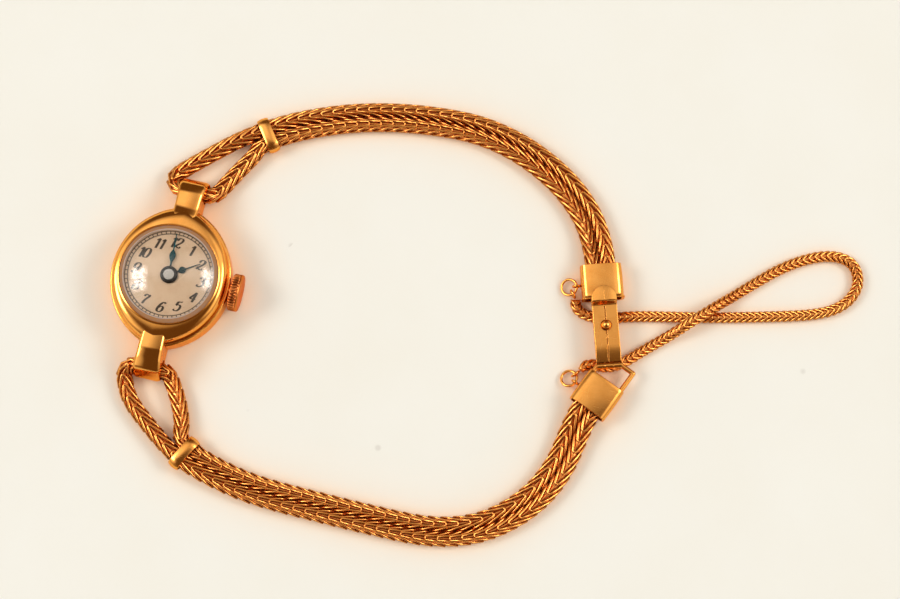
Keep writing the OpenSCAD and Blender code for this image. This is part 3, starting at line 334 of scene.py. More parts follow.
def beside(route, d):
    """The route moved sideways by d: each point goes along the level normal of its neighbours."""
    p = np.asarray(route, float)
    k = np.arange(len(p))
    n = left_of(p[np.minimum(k + 1, k[-1])] - p[np.maximum(k - 1, 0)])
    return np.column_stack([p[:, :2] + d * n, p[:, 2]])


def on_line(origin, degrees, xs, z):
    a = math.radians(degrees)
    return [(origin[0] + x * math.cos(a), origin[1] + x * math.sin(a), z) for x in xs]


def half_chain(upper):
    """Centre line of one doubled chain: out of its cap, through the keeper, round one end of the
    lug's tunnel, through it, round the other end and back beside itself into the cap."""
    sign = 1 if upper else -1
    if upper:
        keeper, keeper_turn, cap, turn = UPPER_KEEPER, UPPER_KEEPER_TURN, UPPER_CAP, UPPER_TURN
        line, (left, right), stops = UPPER_ROUTE, UPPER_V, (139, 58)
    else:
        keeper, keeper_turn, cap, turn = LOWER_KEEPER, LOWER_KEEPER_TURN, LOWER_CAP, LOWER_TURN
        line, (left, right), stops = LOWER_ROUTE, LOWER_V, (120, 60)

    def lifted(points):
        return [(x, y, STRAND_R) for x, y in points]

    route = (on_line(keeper, keeper_turn, (-1.6, KEEPER_LEN / 2), KEEPER_Z) + lifted(line)
             + on_line(cap, turn, (-CAP_LEN / 2 - 0.9, -CAP_LEN / 2, -0.2), CAP_Z))
    bend_r = STRAND_R + 0.35

    def bend(side, stop):
        """The turn at one end of the tunnel, from straight across to the angle of its stop."""
        a = np.radians(-90 + np.arange(7) * stop / 6)
        return np.column_stack([
            side * (LUG_W / 2 + 0.15 + bend_r * np.cos(a)),
            sign * (LUG_Y + bend_r + bend_r * np.sin(a)),
            LUG_Z + (STRAND_R - LUG_Z) * np.arange(7) / 6])

    return Route(cut_corners(np.vstack([
        beside(route, sign * STRAND_GAP)[::-1], lifted(left)[::-1], bend(-1, stops[0])[::-1],
        [[0, sign * LUG_Y, LUG_Z]], bend(1, stops[1]), lifted(right),
        beside(route, -sign * STRAND_GAP)])))


# The leg of a chain link from its tip to its fold: turn round the strand in degrees, distance
# behind the tip in pitches, and reach from the strand's middle as a share
OPEN_LEG = ((0, 0, 1), (15, 0.12, 1), (38, 0.8, 1), (63, 1.45, 1), (90, 2.1, 0.97))
LONG_LEG = ((0, 0, 1), (18, 0.04, 1), (23, 0.95, 1), (55, 1.8, 1), (90, 2.6, 0.97))
SAFETY_LEG = ((0, 0, 1), (18, 0.08, 1), (45, 0.52, 1), (68, 0.95, 1), (90, 1.4, 0.97))


def link_heart(leg, pitch, reach):
    """Centre line of one link about the strand's axis, tip at 0: the leg, its mirror image on the
    same face, and both again on the opposite face."""
    leg = np.array(leg, float)
    half = np.vstack([leg, (leg * [-1, 1, 1] + [180, 0, 0])[-2::-1]])[:-1]
    turn = np.radians(np.concatenate([half[:, 0], half[:, 0] + 180]))
    behind, share = np.tile(half[:, 1:], (2, 1)).T
    return np.stack([-behind * pitch, reach * share * np.sin(turn), reach * share * np.cos(turn)], -1)


def woven_links(route, near, far, pitch, outer, wire, wide=1.0, sides=5):
    """Foxtail links along a route. Each is a closed wire of four legs: from its tip on one face of
    the strand a leg runs back to a fold at the side, and from there another runs to the tip on
    the opposite face. The wire's round section is carried along the legs, and the level reach is
    multiplied by wide. Legs are shaped like near, with a thicker wire, over a length at the
    route's middle and at its ends, and like far in the long stretches between. What would lie
    before the route's start is pressed together."""
    count = int(round(route.total / pitch))
    marks = (np.arange(count) + 1) * route.total / count - wire
    away = np.abs(marks - route.total / 2)
    past_middle, before_end = away - 12, route.total / 2 - 14 - away
    part = (np.clip(past_middle / 10, 0, 1) * np.clip(before_end / 12, 0, 1))[:, None, None]
    open_heart, long_heart = (link_heart(leg, pitch, outer - wire) for leg in (near, far))
    heart = open_heart * (1 - part) + long_heart * part
    slope = unit(np.roll(heart, -1, 1) - np.roll(heart, 1, 1))
    outward = heart * [0, 1, 1]
    first = unit(outward - (outward * slope).sum(-1, keepdims=True) * slope)
    second = np.cross(slope, first)
    c = circle(sides)[:, None]
    ring = np.cos(c) * first[:, :, None] + np.sin(c) * second[:, :, None]
    tube = heart[:, :, None] + wire * (1.3 - 0.3 * part[..., None]) * ring
    local = tube.reshape(count, -1, 3)
    s = marks[:, None] + local[..., 0]
    s = np.where(s < 0, s * 0.03, s)
    _, side, up = route.frame(s, 0.12)
    verts = route.place(s) + side * local[..., 1:2] * wide + up * local[..., 2:3]
    shift = np.arange(count) * local.shape[1]
    faces = quad_faces(heart.shape[1], sides, True, True)[None] + shift[:, None, None]
    return verts.reshape(-1, 3), faces.reshape(-1, 4)


def strand_core(route, radius, wide, lobes, step):
    """What fills the inside of a woven strand: a tube along the route whose section is a circle
    with shallow lobes, like wires lying side by side."""
    s = np.linspace(0, route.total, int(route.total / step))
    a = circle(lobes * 4)[:, None]
    r = radius * (0.93 + 0.07 * np.cos(lobes * a))
    _, side, up = route.frame(s, 0.12)
    ring = side[:, None] * (wide * r * np.cos(a)) + up[:, None] * (r * np.sin(a))
    verts = route.place(s)[:, None] + ring
    return grid(*np.moveaxis(verts, -1, 0), False, True, caps=True)


# Profiles
def round_box(half_w, half_h, r, per_corner=8, along=6):
    """Outline of a rounded box, counter-clockwise: four quarter circles of radius r whose centres
    are the corners moved in by r, with points between them on the broad sides."""
    a = np.linspace(0, math.pi / 2, per_corner)
    parts = []
    for k, (sx, sy) in enumerate([(1, 1), (-1, 1), (-1, -1), (1, -1)]):
        b = a + k * math.pi / 2
        x, y = sx * (half_w - r), sy * (half_h - r)
        parts.append(np.column_stack([x + r * np.cos(b), y + r * np.sin(b)]))
        if k % 2 == 0:
            flat = np.linspace(x, -x, along + 2)[1:-1]
            parts.append(np.column_stack([flat, np.full(along, sy * half_h)]))
    return np.vstack(parts)


def oval_radius(phi, big_r):
    """Distance from the middle to an outline of two equal arcs of radius big_r whose centres lie
    ARC_C to either side: the nearer root of the circle equation along the ray at phi."""
    return -ARC_C * np.abs(np.cos(phi)) + np.sqrt(big_r ** 2 - (ARC_C * np.sin(phi)) ** 2)


def arc_points(cx, cy, r, a0, a1, n):
    a = np.radians(np.linspace(a0, a1, n))
    return np.column_stack([cx + r * np.cos(a), cy + r * np.sin(a)])


def revolve(profile, n=96, closed=True):
    """Profile of (radius, height) points carried round Z; a profile that isn't a closed loop
    starts and ends on the axis."""
    p = np.asarray(profile, float)
    a = circle(n)
    return grid(p[:, :1] * np.cos(a), p[:, :1] * np.sin(a), p[:, 1:], closed, True)


# Node groups and materials
def rgba(colour):
    return (*colour[:3], 1)


def tinted(colour, *shares):
    """A colour with each of its three parts multiplied by a share, or all by the same one."""
    return [part * shares[min(k, len(shares) - 1)] for k, part in enumerate(colour)]


def fed(tree, node, values):
    """The node with its inputs set: a socket is linked, anything else becomes the value."""
    for key, value in values.items():
        if isinstance(value, bpy.types.NodeSocket):
            tree.links.new(value, node.inputs[key])
        else:
            node.inputs[key].default_value = value
    return node


def added(tree, kind, values=None, **own):
    """A new node with its own settings and its inputs."""
    node = tree.nodes.new(kind)
    for key, value in own.items():
        setattr(node, key, value)
    return fed(tree, node, values or {})


def math_node(tree, kind, *values, clamp=False):
    values = dict(enumerate(values))
    return added(tree, "ShaderNodeMath", values, operation=kind, use_clamp=clamp).outputs[0]


def times(tree, a, b, clamp=False):
    return math_node(tree, "MULTIPLY", a, b, clamp=clamp)


def times_plus(tree, value, factor, more, clamp=False):
    return math_node(tree, "MULTIPLY_ADD", value, factor, more, clamp=clamp)


def apart(tree, value, other):
    """How far two values lie apart."""
    return math_node(tree, "ABSOLUTE", math_node(tree, "SUBTRACT", value, other))


def mix_colour(tree, factor, a, b):
    a, b = (c if isinstance(c, bpy.types.NodeSocket) else rgba(c) for c in (a, b))
    return added(tree, "ShaderNodeMix", {0: factor, 6: a, 7: b}, data_type="RGBA").outputs[2]


def noise(tree, vector, scale, detail=3.0, rough=0.55):
    values = {"Vector": vector, "Scale": scale, "Detail": detail, "Roughness": rough}
    return added(tree, "ShaderNodeTexNoise", values).outputs["Fac"]


def stretched(tree, vector, scale, turn=0):
    """A place scaled along its axes and turned about Z."""
    values = {"Vector": vector, "Scale": scale, "Rotation": (0, 0, turn)}
    return added(tree, "ShaderNodeMapping", values).outputs[0]


def ramp(tree, value, low, high):
    """A value stretched so that low becomes 0 and high becomes 1."""
    values = {"Value": value, "From Min": low, "From Max": high}
    return added(tree, "ShaderNodeMapRange", values).outputs[0]


def object_place(tree):
    return added(tree, "ShaderNodeTexCoord").outputs["Object"]


def parts_of(tree, vector):
    return added(tree, "ShaderNodeSeparateXYZ", {0: vector}).outputs


def flat_radius(tree, vector):
    """Distance from the Z axis."""
    x, y, _ = parts_of(tree, vector)
    return math_node(tree, "SQRT", math_node(tree, "ADD", times(tree, x, x), times(tree, y, y)))


def bumped(tree, height, strength, distance, **normal):
    values = {"Height": height, "Strength": strength, "Distance": distance, **normal}
    return added(tree, "ShaderNodeBump", values).outputs[0]


def soft_normal(tree, height, radius, strength, distance=0.00002):
    """A bump on top of a bevelled normal, which rounds the light on sharp edges."""
    bevel = added(tree, "ShaderNodeBevel", {"Radius": radius}, samples=4)
    return bumped(tree, height, strength, distance, Normal=bevel.outputs[0])


def new_group(name, wanted, given):
    """A node group: its inputs are (name, kind, value), its outputs (name, kind). Gives the
    group, the sockets that come in and those that go out."""
    g = bpy.data.node_groups.new(name, "ShaderNodeTree")
    for key, kind, value in wanted:
        socket = g.interface.new_socket(name=key, in_out="INPUT", socket_type=kind)
        if value is not None:
            socket.default_value = value
    for key, kind in given:
        g.interface.new_socket(name=key, in_out="OUTPUT", socket_type=kind)
    return g, g.nodes.new("NodeGroupInput").outputs, g.nodes.new("NodeGroupOutput")


def handling_group():
    """Worn polish: fine scratches in three directions, a slow unevenness of the metal and a
    thin film of grease. Puts out a height, a roughness and a tint."""
    name = "worn_polish"
    if name in bpy.data.node_groups:
        return bpy.data.node_groups[name]
    g, i, out = new_group(name, (
        ("Vector", "NodeSocketVector", None), ("Base", "NodeSocketColor", (0.9, 0.5, 0.1, 1)),
        ("Deep", "NodeSocketColor", (0.6, 0.25, 0.05, 1)), ("Roughness", "NodeSocketFloat", 0.12),
        ("Scratches", "NodeSocketFloat", 0.5), ("Waves", "NodeSocketFloat", 0.5),
    ), (("Color", "NodeSocketColor"), ("Roughness", "NodeSocketFloat"), ("Height", "NodeSocketFloat")))
    lines = None
    for turn, scale in ((0.5, (300, 14000, 300)), (2.1, (11000, 260, 300)), (1.2, (420, 420, 9000))):
        fine = ramp(g, noise(g, stretched(g, i["Vector"], scale, turn), 1.0, 2.0), 0.62, 0.8)
        lines = fine if lines is None else math_node(g, "MAXIMUM", lines, fine)
    film = noise(g, i["Vector"], 520, 4.0, 0.6)
    slow = noise(g, i["Vector"], 260, 1.0)
    marks = times(g, lines, i["Scratches"])
    rough = times_plus(g, ramp(g, film, 0.35, 0.75), 0.07, i["Roughness"])
    fed(g, out, {
        "Color": mix_colour(g, ramp(g, film, 0.4, 0.85), i["Base"], i["Deep"]),
        "Roughness": times_plus(g, marks, 0.14, rough, clamp=True),
        "Height": math_node(g, "ADD", times(g, marks, -0.25), times(g, slow, times(g, i["Waves"], 6.0)))})
    return g


def crevice_group():
    """Painted shade in each crevice: one less the openness that rays of a short length find, to the
    power of 1.4, mixes the colour towards the shade colour."""
    name = "crevices"
    if name in bpy.data.node_groups:
        return bpy.data.node_groups[name]
    g, i, out = new_group(name, (
        ("Color", "NodeSocketColor", (1, 1, 1, 1)), ("Painted Shade", "NodeSocketColor", (0.2, 0.1, 0, 1)),
        ("Reach", "NodeSocketFloat", 0.0006), ("Amount", "NodeSocketFloat", 0.8),
    ), (("Color", "NodeSocketColor"), ("Mask", "NodeSocketFloat")))
    # painted shade: the more a point is shut in, the more its colour goes to the shade colour
    near = added(g, "ShaderNodeAmbientOcclusion", {"Distance": i["Reach"]}, samples=6)
    closed = math_node(g, "POWER", math_node(g, "SUBTRACT", 1.0, near.outputs["AO"]), 1.4)
    shade_mask = times(g, closed, i["Amount"], clamp=True)
    fed(g, out, {"Color": mix_colour(g, shade_mask, i["Color"], i["Painted Shade"]), "Mask": shade_mask})
    return g


def new_material(name):
    """A material, its node tree and its shader."""
    m = bpy.data.materials.new(name)
    m.use_nodes = True
    return m, m.node_tree, m.node_tree.nodes["Principled BSDF"]


def metal(name, base, deep, rough, scratches=0.5, waves=0.5, bump=0.12, radius=0.00006,
          shade_colour=None, reach=0.0005, amount=0.0, metallic=1.0, film=0.0):
    """A polished metal: worn polish for colour, roughness and height, painted shade in each crevice,
    and a clear film over it that mirrors without colour."""
    if name in bpy.data.materials:
        return bpy.data.materials[name]
    m, t, bsdf = new_material(name)
    worn = added(t, "ShaderNodeGroup", node_tree=handling_group())
    fed(t, worn, {"Vector": object_place(t), "Base": rgba(base), "Deep": rgba(deep),
                  "Roughness": rough, "Scratches": scratches, "Waves": waves})
    colour = worn.outputs["Color"]
    # painted shade: where amount is set, each crevice within reach is darkened towards the shade colour
    if amount:
        crevices = added(t, "ShaderNodeGroup", node_tree=crevice_group())
        fed(t, crevices, {"Color": colour, "Painted Shade": rgba(shade_colour), "Reach": reach, "Amount": amount})
        colour = crevices.outputs["Color"]
    fed(t, bsdf, {"Base Color": colour, "Roughness": worn.outputs["Roughness"], "Metallic": metallic,
                  "Coat Weight": film, "Coat Roughness": 0.25,
                  "Specular Tint": rgba([min(1.0, 0.3 + v) for v in base]),
                  "Normal": soft_normal(t, worn.outputs["Height"], radius, bump)})
    return m


def case_gold():
    c = colours().gold
    # painted shade: a deep red-brown laid in each crevice of the case
    return metal("polished_gold", c, tinted(c, 0.93, 0.8, 0.6), 0.09, 0.55, 0.6, 0.18,
                 shade_colour=(0.30, 0.06, 0.004), reach=0.0008, amount=0.5)


def chain_gold():
    c = colours().gold
    # painted shade: red-brown laid in the gaps and holes between the links
    return metal("chain_gold", tinted(c, 1.04, 0.98, 0.9), tinted(c, 0.93, 0.76, 0.5), 0.2, 0.2, 0.2, 0.08,
                 radius=0.00001, shade_colour=(0.48, 0.07, 0.003), reach=0.0006, amount=1.3, metallic=0.92,
                 film=0.45)


def clasp_gold():
    c = colours().gold
    # painted shade: red-brown laid in each crevice of the caps, keepers, leaf and rings
    return metal("clasp_gold", c, tinted(c, 0.9, 0.78, 0.6), 0.19, 0.9, 0.9, 0.22,
                 shade_colour=(0.3, 0.05, 0.002), reach=0.0005, amount=0.9)


def rose_gold():
    c = colours().rose
    # painted shade: near black laid in the grooves between the crown's flutes
    return metal("rose_crown", c, tinted(c, 0.7), 0.28, 0.4, 0.3, 0.15, radius=0.00002,
                 shade_colour=(0.06, 0.012, 0.004), reach=0.0004, amount=1.0)


def steel():
    c = colours().steel
    return metal("polished_steel", c, tinted(c, 0.75), 0.16, 0.8, 0.3, 0.12, 0.00002)


def gilt():
    c = colours().gilt
    return metal("gilded_wheels", c, tinted(c, 0.8), 0.22, 0.6, 0.3, 0.12, 0.00002)


def blued():
    """Blued steel whose hub is polished bright inside and almost black round that, by radius."""
    c = colours().blued
    name = "heat_blued"
    if name in bpy.data.materials:
        return bpy.data.materials[name]
    m = metal(name, c, tinted(c, 1.5, 0.8), 0.3, 0.3, 0.4, 0.08, 0.00003)
    t = m.node_tree
    colour = t.nodes["Principled BSDF"].inputs["Base Color"]
    r = flat_radius(t, t.nodes["Texture Coordinate"].outputs["Object"])
    black, bright = (0.014, 0.013, 0.013), (0.30, 0.27, 0.25)
    hub = mix_colour(t, ramp(t, r, 0.00115, 0.00105), colour.links[0].from_socket, black)
    t.links.new(mix_colour(t, ramp(t, r, 0.00066, 0.00062), hub, bright), colour)
    return m


def nickel():
    """Nickel with rows of overlapping ground circles: the distance to the nearest point of a
    slightly uneven lattice, as rings."""
    name = "grained_nickel"
    if name in bpy.data.materials:
        return bpy.data.materials[name]
    c = colours().nickel
    m = metal(name, c, tinted(c, 0.8), 0.24, 0.4, 0.2, 0.1, 0.00003)
    t = m.node_tree
    rough = t.nodes["Principled BSDF"].inputs["Roughness"]
    spots = added(t, "ShaderNodeTexVoronoi", {"Vector": object_place(t), "Scale": 1500, "Randomness": 0.12})
    rings = math_node(t, "SINE", times(t, spots.outputs["Distance"], 60.0))
    t.links.new(times_plus(t, rings, 0.05, rough.links[0].from_socket), rough)
    return m


def dress(nodes, material):
    """Gives CAD nodes that stay a finish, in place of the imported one."""
    for n in nodes:
        NODES[n].data.materials.clear()
        NODES[n].data.materials.append(material)


# Operators
class StageOperator(bpy.types.Operator):
    """Lays the pale paper, sets a soft window on each side and a room around, and places the
    camera above, leaning back a little"""

    bl_idname = "watch.stage"
    bl_label = "Stage"

    def execute(self, context):
        scene = context.scene
        high = sizes().camera_height
        middle = Matrix.Translation((PHOTO_MIDDLE[0] * MM, PHOTO_MIDDLE[1] * MM, PHOTO_PLANE * MM))
        middle = middle @ Matrix.Rotation(PHOTO_TURN, 4, "Z")
        cam = bpy.data.cameras.new("camera")
        cam.sensor_width = 36
        cam.lens = cam.sensor_width * high / (PHOTO_WIDTH * MM)
        cam.clip_start = 0.005
        cam.clip_end = 5
        lean = Matrix.Rotation(PHOTO_TILT, 4, "X")
        scene.camera = self.placed("camera", cam, middle @ lean @ Matrix.Translation((0, 0, high)))
        mesh = bpy.data.meshes.new("paper")
        far = 1.5
        corners = ((-far, -far, 0), (far, -far, 0), (far, far, 0), (-far, far, 0))
        mesh.from_pydata(corners, [], [(0, 1, 2, 3)])
        mesh.materials.append(self.paper_material())
        paper = self.placed("paper", mesh, Matrix())
        for name, side, power in (("window_left", -1, 4.4), ("window_right", 1, 4.2)):
            light = bpy.data.lights.new(name, "AREA")
            light.shape = "RECTANGLE"
            light.size, light.size_y = 0.40, 0.50
            light.energy = power
            light.color = (1.0, 0.975, 0.93)
            self.pane(light)
            place = Matrix.Translation((side * WINDOW_X, WINDOW_Y, WINDOW_Z))
            self.placed(name, light, middle @ place @ Matrix.Rotation(side * WINDOW_LEAN, 4, "Y"))
        self.room(scene)
        scene.view_settings.view_transform = "Standard"
        return {"FINISHED"}

    def placed(self, name, data, place):
        thing = bpy.data.objects.new(name, data)
        bpy.context.scene.collection.objects.link(thing)
        thing.matrix_world = place
        return thing

    def pane(self, light):
        """A window pane: bright in the middle, soft at its rim, with a bar across it and the folds
        of a thin curtain."""
        light.use_nodes = True
        t = light.node_tree
        place = t.nodes.new("ShaderNodeNewGeometry").outputs["Parametric"]
        x, y, _ = parts_of(t, place)
        rim = times(t, ramp(t, apart(t, x, 0.5), 0.5, 0.22), ramp(t, apart(t, y, 0.5), 0.5, 0.22))
        folds = ramp(t, noise(t, stretched(t, place, (5, 4, 1)), 1.0, 3.0), 0.34, 0.6)
        bar = times_plus(t, ramp(t, apart(t, y, 0.47), 0.0, 0.05), 0.5, 0.5)
        bar = times(t, bar, times_plus(t, folds, 0.85, 0.15))
        fed(t, t.nodes["Emission"], {"Strength": times(t, times(t, rim, bar), 2.0)})

    def paper_material(self):
        """Pale paper: two noises of slight tone, a few fine specks, a fine tooth in the bump, and
        the warm light that the gold throws on it, put in where the sky is partly shut out."""
        m, t, bsdf = new_material("paper")
        where = object_place(t)
        c = colours().floor
        tone = mix_colour(t, ramp(t, noise(t, where, 60, 4), 0.3, 0.75), c, tinted(c, 0.985, 0.975, 0.955))
        specks = added(t, "ShaderNodeTexVoronoi", {"Vector": where, "Scale": 150})
        few = math_node(t, "GREATER_THAN", noise(t, where, 90, 1), 0.62)
        speck = times(t, ramp(t, specks.outputs["Distance"], 0.07, 0.03), few)
        tone = mix_colour(t, times(t, speck, 0.25), tone, (0.35, 0.3, 0.25))
        near = added(t, "ShaderNodeAmbientOcclusion", {"Distance": 0.007}, samples=8)
        warm = ramp(t, math_node(t, "SUBTRACT", 1.0, near.outputs["AO"]), 0.02, 0.5)
        tone = mix_colour(t, times(t, warm, 0.8), tone, (1.08, 0.79, 0.53))
        fed(t, bsdf, {"Base Color": tone, "Roughness": 0.75, "Specular IOR Level": 0.2,
                      "Normal": bumped(t, noise(t, where, 2600, 2), 0.12, 0.00005)})
        return m

    def room(self, scene):
        """The room that the metal mirrors: a ceiling that is bright on the photo's left and dimmer
        on its right, dark beyond the photo's upper edge and round the camera, lighter walls at
        the sides. Other rays see an even sky."""
        scene.world = bpy.data.worlds.new("room")
        scene.world.use_nodes = True
        t = scene.world.node_tree
        facing = stretched(t, added(t, "ShaderNodeTexCoord").outputs["Generated"], (1, 1, 1), -PHOTO_TURN)
        x, y, z = parts_of(t, facing)
        across = math_node(t, "ABSOLUTE", x)
        cloud = ramp(t, noise(t, facing, 2.6, 2.0), 0.3, 0.7)
        left = ramp(t, times_plus(t, cloud, -0.14, x), 0.24, -0.3)
        bright = math_node(t, "MAXIMUM", left, ramp(t, x, 0.15, 0.37))
        ceiling = mix_colour(t, bright, (0.50, 0.43, 0.36), (1.22, 1.16, 1.06))
        wall = mix_colour(t, ramp(t, across, 0.4, 0.9), (0.13, 0.075, 0.028), (0.52, 0.44, 0.34))
        above = times(t, ramp(t, y, 0.68, 0.46), ramp(t, y, -0.08, 0.11))
        level = ramp(t, math_node(t, "ABSOLUTE", y), 0.62, 0.44)
        opening = math_node(t, "MAXIMUM", above, times(t, ramp(t, across, 0.38, 0.66), level))
        height = times_plus(t, ramp(t, across, 0.5, 0.85), 0.2, z)
        mirrored = mix_colour(t, times(t, opening, ramp(t, height, 0.3, 0.7)), wall, ceiling)
        ray = added(t, "ShaderNodeLightPath").outputs
        seen = mix_colour(t, ray["Is Glossy Ray"], (0.64, 0.63, 0.605), mirrored)
        seen = mix_colour(t, ray["Is Camera Ray"], seen, (0.90, 0.88, 0.83))
        fed(t, t.nodes["Background"], {"Color": seen})


class SafetyChainOperator(bpy.types.Operator):
    """Makes the free safety chain as small woven links along its route on the paper"""

    bl_idname = "watch.safety_chain"
    bl_label = "Safety chain"

    def execute(self, context):
        start, end = self.ends()
        route = Route(cut_corners(np.array([start, *SAFETY_ROUTE, end]) + [0, 0, SAFETY_R]))
        pitch, wire = sizes().safety_pitch / MM, sizes().safety_wire / MM
        links = woven_links(route, SAFETY_LEG, SAFETY_LEG, pitch, SAFETY_R, wire, 1.2)
        core = strand_core(route, SAFETY_R - 0.24, 1.3, 6, 0.4)
        chain = new_piece("safety_chain_links", joined([links, core]), "lower_bracelet", chain_gold(),
                          "safety_chain", sharp=180)
        return {"FINISHED"}

    def ends(self):
        """The two ends of the safety chain: each lies a little past its end link, along that
        link's own direction from its jump ring's middle."""
        ends = []
        for cap, turn, eye_x, side, link_turn in (
                (UPPER_CAP, UPPER_TURN, UPPER_EYE_X, -1, UPPER_LINK_TURN),
                (LOWER_CAP, LOWER_TURN, LOWER_EYE_X, 1, LOWER_LINK_TURN)):
            a, b = math.radians(turn), math.radians(link_turn)
            y = side * (EYE_Y + JUMP_RING_R * math.cos(math.radians(RING_TILT)))
            x = cap[0] + eye_x * math.cos(a) - y * math.sin(a)
            y = cap[1] + eye_x * math.sin(a) + y * math.cos(a)
            r = JUMP_RING_R + END_LINK_R + END_WIRE_R + 0.12
            ends.append((x + r * math.cos(b), y + r * math.sin(b), 0.0))
        return ends


class WovenChainsOperator(bpy.types.Operator):
    """Weaves the two doubled bracelet chains out of saddle-shaped wire links"""

    bl_idname = "watch.woven_chains"
    bl_label = "Woven chains"

    def execute(self, context):
        pitch, wire = sizes().link_pitch / MM, sizes().link_wire / MM
        for upper, half in ((True, "upper"), (False, "lower")):
            route = half_chain(upper)
            links = woven_links(route, OPEN_LEG, LONG_LEG, pitch, STRAND_R, wire, 1.1)
            core = strand_core(route, STRAND_R - 0.42, 1.35, 8, 0.4)
            new_piece(half + "_chain_links", joined([links, core]), half + "_bracelet", chain_gold(),
                      half + "_chain", sharp=180)
        return {"FINISHED"}


class CaseOperator(bpy.types.Operator):
    """Turns the pointed oval bezel with its rounded shoulder, bends the two lugs, and polishes the
    lower case"""

    bl_idname = "watch.case"
    bl_label = "Case"

    def execute(self, context):
        phi = circle(288)
        rim = oval_radius(phi, BEZEL_R)
        rows = []

        def ring(r, z):
            rows.append((np.broadcast_to(r, phi.shape), np.broadcast_to(z, phi.shape)))

        def shoulder(r):
            """Height at a radius: a slow fall and, near the rim, a rounded one."""
            share = np.clip((r - CRYSTAL_R) / (rim - CRYSTAL_R), 0, 1)
            fall, power = 0.15, 3.1
            return BEZEL_TOP - fall * share - (SHOULDER - fall) * (1 - (1 - share ** power) ** (1 / power))

        inner = CRYSTAL_R + 0.02
        for r, z in ((BORE_R, CASE_TOP), (BORE_R, LEDGE_Z), (LEDGE_R, LEDGE_Z), (LEDGE_R, SEAT_Z),
                     (inner, SEAT_Z), (inner, BEZEL_TOP - 0.03), (inner + 0.04, BEZEL_TOP + 0.02)):
            ring(r, z)
        foot = inner + 0.14
        ring(foot, shoulder(foot) + 0.01)
        for share in (*np.linspace(0.02, 0.7, 14), *(1 - 0.3 * (1 - np.linspace(0, 1, 16)[1:]) ** 2)):
            r = foot + (rim - foot) * share
            ring(r, shoulder(r))
        ring(rim, CASE_TOP + 0.02)
        ring(rim - 0.02, CASE_TOP)
        r, z = np.moveaxis(np.array(rows), 1, 0)
        bezel = grid(r * np.cos(phi), r * np.sin(phi), z, True, True)
        new_piece("bezel_shell", bezel, "case", case_gold(), "bezel", sharp=50)
        for sign, node, bends in ((1, "upper_lug", self.UPPER_TOP), (-1, "lower_lug", self.LOWER_TOP)):
            verts, faces = self.lug(bends)
            new_piece(node + "_hood", (verts * [1, sign, 1], faces), "case", case_gold(), node, sharp=28)
        dress(["case_back", "case_middle", "crown_tube"], case_gold())
        return {"FINISHED"}

    # Side view of each lug's upper face, from its foot under the bezel's surface outward
    UPPER_TOP = ((6.3, 5.05), (6.95, 5.03), (7.5, 4.95), (8.42, 4.65), (10.35, 4.5), (11.2, 4.22),
                 (11.62, 3.92))
    LOWER_TOP = ((6.3, 5.05), (6.95, 5.01), (9.15, 4.915), (10.3, 4.68), (11.5, 4.25), (11.74, 3.9))

    def lug(self, bends):
        """A side view outline (foot, bends of the hood, round end under the chain, sole) carried
        across the lug. Each bend is rounded by a short curve. Near each side the outline is drawn
        in by a chamfer. The sides are filled between the outline and the chain's tunnel, whose
        wall joins them. The lug widens toward its end and narrows toward its foot."""
        def curve(a, b, c, n=10):
            t = np.linspace(0, 1, n)[:, None]
            return np.asarray(a) * (1 - t) ** 2 + 2 * np.asarray(b) * t * (1 - t) + np.asarray(c) * t ** 2

        cheek = np.array([LUG_Y + 0.95, HOOD_Z - 1.2])
        nose = np.array([LUG_Y + LUG_R, LUG_Z])
        b = np.array([*bends, cheek])
        short = 0.22 * unit(np.diff(b, axis=0))
        rounded = [curve(q - before, q, q + after, 5) for q, before, after in zip(b[1:-1], short, short[1:])]
        top = np.vstack([b[:1], *rounded, curve(cheek, (nose[0], cheek[1] - 1.2), nose)[:-1]])
        end = arc_points(LUG_Y, LUG_Z, LUG_R, 0, -90, 14)
        under = np.linspace(end[-1], (8.4, 0.65), 6)[1:]
        sole = np.array([*under, [7.7, 0.9], [7.0, 1.2], [7.0, 2.5], [6.9, 4.8], [6.4, 4.95]])
        loop = np.vstack([top, end, sole])
        n = left_of(np.roll(loop, -1, 0) - np.roll(loop, 1, 0))
        if (n * (loop - loop.mean(0))).sum() > 0:
            n = -n
        half = LUG_W / 2
        chamfer = 0.21
        steps = [(half, chamfer), (half - 0.04, chamfer * 0.72), (half - chamfer, 0.05),
                 (half - chamfer - 0.12, 0.0)]
        a = np.arctan2(loop[:, 1] - LUG_Z, loop[:, 0] - LUG_Y)
        around = np.column_stack([np.cos(a), np.sin(a)])
        hole, wide = ([LUG_Y, LUG_Z] + (TUNNEL_R + room) * around for room in (0.07, 0.085))
        layers = [(-x, loop + n * inward) for x, inward in steps]
        layers += [(x, loop + n * inward) for x, inward in steps[::-1]]
        layers += [(half, wide), (half - 0.06, hole), (-half + 0.06, hole), (-half, wide)]
        x = np.array([[x] * len(loop) for x, _ in layers])
        y, z = np.moveaxis(np.array([points for _, points in layers]), -1, 0)
        broad = np.clip((y - 9.4) / 2, 0, 1)
        slim = np.clip((8.2 - y) / 1.8, 0, 1)
        x = x * (1 + 0.1 * broad * broad * (3 - 2 * broad) - 0.12 * slim * slim)
        return grid(x, y, z, True, True)


